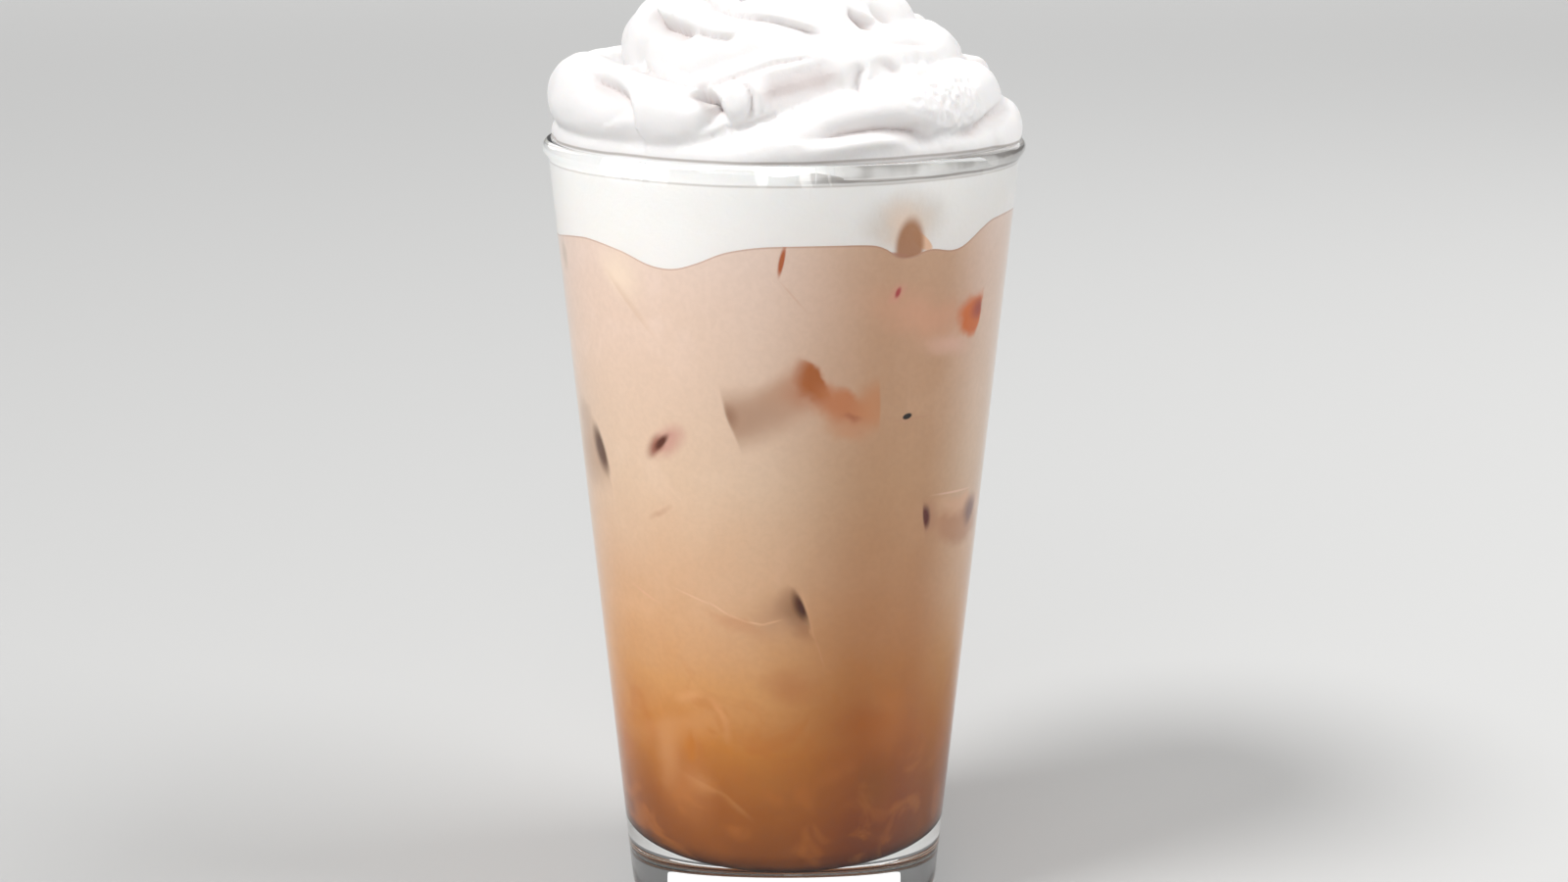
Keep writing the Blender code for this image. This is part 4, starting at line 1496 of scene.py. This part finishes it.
@dataclass
class WhippedCream:
    """The cream, from its wavy edge in the glass to the tip of the swirl, as one soft mass.

    Attributes:
        cup: The cup it fills.
        line: Its lower edge on the bore.
        finish: Its finish.
        ropes: The piped ropes.
        folds: The creases pressed into them.
        core: Radius and height in mm of the mass under the ropes.
        voxel: Fineness of the fused surface.
        reach: How far the cream goes into the wall.
        sink: How far its hidden lower face goes into the drink.
        swells: Width and height in mm of its soft swells.
        rough_place: Azimuth in degrees, radius and height in mm of the rough patch's middle.
        rough_reach: How far in mm that patch reaches.
        pits: Width in mm and share of the pits in it.
        full_shade_depth: Depth in mm of a crease whose painted shade is full.
        sharp_angle: Angle in degrees past which its edges show.
        cutter_foot: Height of the underside of what cuts it.
        cutter_radius: Radius of what cuts it, out past the glass.
        cutter_neck: Height just under the rim, where that steps in to the glass.
        core_steps: Steps in the full turn of its core.
        steps: Steps in the full turn of the cup that it gives way to.
    """

    cup: CupShape
    line: CreamLine
    finish: SoftCream
    ropes: tuple[Rope, ...] = (RIM_RING, SWIRL, CAP, TIP, TONGUE, RIM_LUMP)
    folds: tuple[Fold, ...] = FOLDS
    core: tuple[tuple[float, float], ...] = (
        (0.0, 120.0), (43.6, 120.0), (43.6, 146.6), (41.0, 147.5), (40.7, 149.6), (39.8, 151.4),
        (34.0, 154.8), (25.0, 162.0), (15.0, 171.0), (6.0, 179.0), (0.0, 181.0),
    )
    voxel: float = 0.5 * MM
    reach: float = 0.1 * MM
    sink: float = 1.5 * MM
    swells: tuple[tuple[float, float], ...] = ((11.0, 0.7), (3.2, 0.12))
    rough_place: tuple[float, float, float] = (45.0, 40.0, 159.0)
    rough_reach: float = 14.0
    pits: tuple[tuple[float, float], ...] = ((2.0, 1.0), (1.0, 0.6))
    full_shade_depth: float = 2.4
    sharp_angle: float = 60.0
    cutter_foot: float = 100 * MM
    cutter_radius: float = 60 * MM
    cutter_neck: float = 145 * MM
    core_steps: int = 180
    steps: int = 256

    def fused(self) -> bpy.types.Object:
        """Fuses the ropes and the core under them into one skin.

        Returns:
            The skin.
        """
        bm = turned([(radius * MM, height * MM) for radius, height in self.core], self.core_steps)
        for rope in self.ropes:
            rope.add_to(bm)
        bmesh.ops.recalc_face_normals(bm, faces=bm.faces)
        made = linked("whipped_swirl", bm, self.finish.material())
        fuse = made.modifiers.new("fuse", "REMESH")
        fuse.mode = "VOXEL"
        fuse.voxel_size = self.voxel
        soften = made.modifiers.new("soften", "SMOOTH")
        soften.iterations = 4
        settle(made)
        return made

    def traced(self, tree: BVHTree, fold: Fold) -> np.ndarray:
        """Lays a fold's path on the skin.

        Args:
            tree: The skin.
            fold: The fold.

        Returns:
            Points on the skin in mm, one row each.
        """
        rows = tuple((float(i), *point) for i, point in enumerate(fold.path))
        points = []
        for at in np.linspace(0.0, len(rows) - 1.0, 6 * len(rows)):
            azimuth, height = keyed(rows, float(at))
            start = around(azimuth, 70 * MM, height * MM)
            hit = tree.ray_cast(start, around(azimuth, -1.0, 0.0))[0]
            if hit is not None:
                points.append(hit / MM)
        return np.array(points)

    def pressed(self, places: np.ndarray, normals: np.ndarray, path: np.ndarray, fold: Fold) -> np.ndarray:
        """Works out how a fold moves and tints the skin.

        Args:
            places: Points of the skin in mm.
            normals: Their normals.
            path: The fold's path on the skin in mm.
            fold: The fold.

        Returns:
            Two rows: how far each point moves inwards in mm, negative where raised, and its share of painted
                shade.
        """
        reach = 3.2 * max(fold.gentle, fold.steep)
        low, high = path.min(axis=0) - reach, path.max(axis=0) + reach
        near = np.flatnonzero(np.all((places > low) & (places < high), axis=1))
        moved = np.zeros((2, len(places)))
        if not len(near):
            return moved
        spots, facing = places[near], normals[near]
        nearest = np.full(len(near), 1e9)
        side = np.zeros(len(near))
        along = np.zeros(len(near))
        lengths = np.linalg.norm(np.diff(path, axis=0), axis=1)
        total = lengths.sum()
        passed = 0.0
        for start, end, length in zip(path, path[1:], lengths):
            if length < 1e-6:
                continue
            way = end - start
            share = np.clip(((spots - start) @ way) / length**2, 0.0, 1.0)
            off = spots - start - share[:, None] * way
            distance = np.linalg.norm(off, axis=1)
            closer = distance < nearest
            nearest = np.where(closer, distance, nearest)
            turn = np.einsum("ij,ij->i", np.cross(way, off), facing)
            side = np.where(closer, np.sign(turn) * fold.over.value, side)
            along = np.where(closer, (passed + share * length) / total, along)
            passed += length
        ends = np.clip(np.minimum(along, 1.0 - along) / fold.taper, 0.0, 1.0)
        weight = 0.25 + 0.75 * ends * ends * (3 - 2 * ends)
        width = np.where(side > 0, fold.steep, fold.gentle)
        crease = np.exp(-((nearest / width) ** fold.blunt))
        lip_middle, lip_width = 1.9 * fold.steep, 1.2 * fold.steep
        lip = np.exp(-(((nearest - lip_middle) / lip_width) ** 2)) * (side > 0)
        moved[0, near] = fold.depth * weight * (crease - fold.lip * lip)
        # Painted shade: a thin dark line along the fold's bed and a broader shade over its gentle side.
        line_width, hollow_width = 0.5 * fold.steep + 0.2, 0.75 * fold.gentle
        line = np.exp(-((nearest / line_width) ** 2))
        hollow = np.exp(-((nearest / hollow_width) ** 2)) * (side < 0)
        strength = fold.shade * min(max(fold.depth, 0.0) / self.full_shade_depth, 1.0)
        moved[1, near] = np.clip(strength * ends * (0.6 * line + 0.5 * hollow), 0.0, 1.0)
        return moved

    def sculpt(self, mesh: bpy.types.Mesh) -> None:
        """Presses the folds into the skin, notes their painted shade, and gives it soft swells and a rough
        patch.

        Args:
            mesh: The skin.
        """
        tree = BVHTree.FromPolygons(
            [vert.co.copy() for vert in mesh.vertices], [tuple(face.vertices) for face in mesh.polygons]
        )
        count = len(mesh.vertices)
        places, normals = np.empty((count, 3)), np.empty((count, 3))
        mesh.vertices.foreach_get("co", places.ravel())
        mesh.vertex_normals.foreach_get("vector", normals.ravel())
        inward, raised, tint = np.zeros(count), np.zeros(count), np.zeros(count)
        for fold in self.folds:
            path = self.traced(tree, fold)
            if len(path) < 2:
                continue
            moved, crease_shade = self.pressed(places / MM, normals, path, fold)
            inward = np.maximum(inward, moved)
            raised = np.minimum(raised, moved)
            tint = np.maximum(tint, crease_shade)
        uneven = np.empty(count)
        azimuth, radius, height = self.rough_place
        rough_at = around(azimuth, radius * MM, height * MM)
        for i, place in enumerate(map(Vector, places)):
            swell = sum(rise * noise.noise(place / (width * MM)) for width, rise in self.swells)
            near = max(1.0 - (place - rough_at).length / (self.rough_reach * MM), 0.0)
            if near:
                pits = sum(share * abs(noise.noise(place / (width * MM))) for width, share in self.pits)
                swell -= (0.5 * near + 1.1 * near * near) * max(pits - 0.1, 0.0)
            uneven[i] = swell
        moved = uneven - inward - raised
        places += normals * moved[:, None] * MM
        mesh.vertices.foreach_set("co", places.ravel())
        # The crease attribute holds the folds' painted shade.
        mesh.attributes.new("crease", "FLOAT", "POINT").data.foreach_set("value", tint)
        mesh.update()

    def cup_cutter(self) -> bpy.types.Object:
        """Makes what the cream gives way to: the glass's wall and rim, and the drink, as one closed solid.

        Returns:
            The solid.
        """
        cup, reach = self.cup, self.reach
        floor = self.line.mean - self.sink
        rim = cup.bead_centre()
        round_radius = cup.bead_radius - reach
        low, side, neck = self.cutter_foot, self.cutter_radius, self.cutter_neck
        points = [(0.0, low), (side, low), (side, neck), (rim[0] + round_radius, neck)]
        points += arc(rim, round_radius, 0.0, 180.0, 24)
        points += [(cup.bore_radius(z) + reach, z) for z in np.linspace(neck, floor + 1 * MM, 12)]
        wall = cup.bore_radius(floor) + reach
        points += [(wall * share, floor) for share in (1.0, 0.9, 0.75, 0.5, 0.25, 0.0)]
        bm = turned(points, self.steps)
        self.line.bend(bm, -self.sink, cup, -reach)
        return linked("cup_cutter", bm)

    def build(self) -> bpy.types.Object:
        """Makes the cream and dresses it.

        Returns:
            The cream.
        """
        made = self.fused()
        self.sculpt(made.data)
        keep_largest(made.data)
        soften = made.modifiers.new("soften", "SMOOTH")
        soften.factor = 0.35
        soften.iterations = 1
        cutter = self.cup_cutter()
        clear = made.modifiers.new("clear", "BOOLEAN")
        clear.operation = "DIFFERENCE"
        clear.object = cutter
        clear.solver = "MANIFOLD"
        settle(made)
        bpy.data.objects.remove(cutter)
        keep_largest(made.data)
        made.data.shade_smooth()
        made.data.set_sharp_from_angle(angle=math.radians(self.sharp_angle))
        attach(made, BODY)
        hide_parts("whipped_cream")
        return made


def keep_largest(mesh: bpy.types.Mesh) -> None:
    """Drops the loose scraps and sealed hollows of a mesh, all but its largest shell.

    Args:
        mesh: The mesh.
    """
    bm = bmesh.new()
    bm.from_mesh(mesh)
    shells: list[list[bmesh.types.BMVert]] = []
    seen: set[bmesh.types.BMVert] = set()
    for start in bm.verts:
        if start in seen:
            continue
        shell, queue = [], [start]
        seen.add(start)
        while queue:
            vert = queue.pop()
            shell.append(vert)
            for edge in vert.link_edges:
                other = edge.other_vert(vert)
                if other not in seen:
                    seen.add(other)
                    queue.append(other)
        shells.append(shell)
    shells.sort(key=len)
    for shell in shells[:-1]:
        bmesh.ops.delete(bm, geom=shell, context="VERTS")
    bm.to_mesh(mesh)
    bm.free()


class Shine(Enum):
    """The kinds of studio lamp."""

    PANEL = "AREA"
    FAR_KEY = "SUN"


@dataclass(frozen=True)
class Lamp:
    """A soft studio lamp, which the camera doesn't see.

    Attributes:
        name: Its name.
        place: Where it stands, in metres.
        power: Its power in watts, or for a far key its strength.
        size: A panel's width and height, or twice the angle a far key spans in degrees.
        shine: Its kind.
        aim: The point it lights.
        colour: Its colour.
        gleams: Whether it shows in glossy surfaces.
        through_glass: Whether it shows through glass.
    """

    name: str
    place: tuple[float, float, float]
    power: float
    size: tuple[float, float]
    shine: Shine = Shine.PANEL
    aim: tuple[float, float, float] = (0.0, 0.0, 0.1)
    colour: Colour = (1.0, 1.0, 1.0)
    gleams: bool = True
    through_glass: bool = True

    def build(self) -> bpy.types.Object:
        """Makes the lamp.

        Returns:
            The lamp.
        """
        light = bpy.data.lights.new(self.name, self.shine.value)
        light.energy = self.power
        light.color = self.colour
        if self.shine is Shine.PANEL:
            light.shape = "RECTANGLE"
            light.size, light.size_y = self.size
        else:
            light.angle = math.radians(self.size[0])
        made = bpy.data.objects.new(self.name, light)
        made.location = self.place
        made.rotation_euler = (Vector(self.aim) - Vector(self.place)).to_track_quat("-Z", "Y").to_euler()
        made.visible_camera = False
        made.visible_glossy = self.gleams
        made.visible_transmission = self.through_glass
        bpy.context.scene.collection.objects.link(made)
        return made


@dataclass
class Studio:
    """The pale floor, the lamps and the camera.

    Attributes:
        lamps: The lamps.
        floor_colour: The floor's colour.
        floor_reach: How far the floor reaches each way from the glass, in metres.
        sky: How bright the even light from all round is.
        camera_place: Where the camera stands, in metres.
        camera_dip: How far it looks down, in degrees.
        lens: Its focal length in mm.
        sensor: Its sensor's width in mm.
        clip: How near and how far it sees, in metres.
    """

    lamps: tuple[Lamp, ...] = (
        Lamp("key", (-1.04, -0.54, 1.62), 2.28, (18.0, 18.0), Shine.FAR_KEY, (0.0, 0.0, 0.0)),
        Lamp("front_fill", (-0.35, -1.40, 0.75), 8.5, (1.4, 0.9), through_glass=False),
        Lamp("right_fill", (1.10, -0.08, 1.25), 17.0, (0.9, 0.9), gleams=False, through_glass=False),
        Lamp("back_panel", (0.0, 4.00, 1.90), 42.0, (5.75, 2.0), aim=(0.0, 0.0, 0.05)),
    )
    floor_colour: Colour = (0.55, 0.55, 0.545)
    floor_reach: float = 8.0
    sky: float = 0.19
    camera_place: tuple[float, float, float] = CAMERA_PLACE
    camera_dip: float = CAMERA_DIP
    lens: float = 51.4
    sensor: float = 36.0
    clip: tuple[float, float] = (0.02, 50.0)

    def build(self) -> None:
        """Makes the floor, the lamps, the even light and the camera."""
        self.floor()
        for lamp in self.lamps:
            lamp.build()
        scene = bpy.context.scene
        world = bpy.data.worlds.new("even_light")
        scene.world = world
        world.use_nodes = True
        backdrop = world.node_tree.nodes["Background"]
        backdrop.inputs["Color"].default_value = (1.0, 1.0, 1.0, 1.0)
        backdrop.inputs["Strength"].default_value = self.sky
        scene.view_settings.view_transform = "Standard"
        camera = bpy.data.cameras.new("camera")
        camera.lens = self.lens
        camera.sensor_width = self.sensor
        camera.clip_start, camera.clip_end = self.clip
        holder = bpy.data.objects.new("camera", camera)
        holder.location = self.camera_place
        holder.rotation_euler = (math.radians(90.0 - self.camera_dip), 0.0, 0.0)
        scene.collection.objects.link(holder)
        scene.camera = holder

    def floor(self) -> None:
        """Makes the plain pale floor."""
        bm = bmesh.new()
        bmesh.ops.create_grid(bm, x_segments=1, y_segments=1, size=self.floor_reach)
        sketch = Sketch("pale_floor")
        sketch.feed(sketch.shader, Base_Color=(*self.floor_colour, 1.0))
        sketch.feed(sketch.shader, Roughness=0.8, Specular_IOR_Level=0.2)
        made = linked("floor", bm, sketch.material)


def main() -> None:
    """Builds the glass, the drink and the cream, then the studio round them."""
    logging.basicConfig(level=logging.INFO, format="%(message)s")
    cup, line = CupShape(), CreamLine()
    pieces = [
        MixingGlass(cup, ClearGlass()).build(),
        IcedCoffee(cup, line, MilkyCoffee()).build(),
        WhippedCream(cup, line, SoftCream()).build(),
    ]
    for piece in pieces:
        LOG.info("%s: %d faces", piece.name, len(piece.data.polygons))
    Studio().build()


if __name__ == "__main__":
    main()
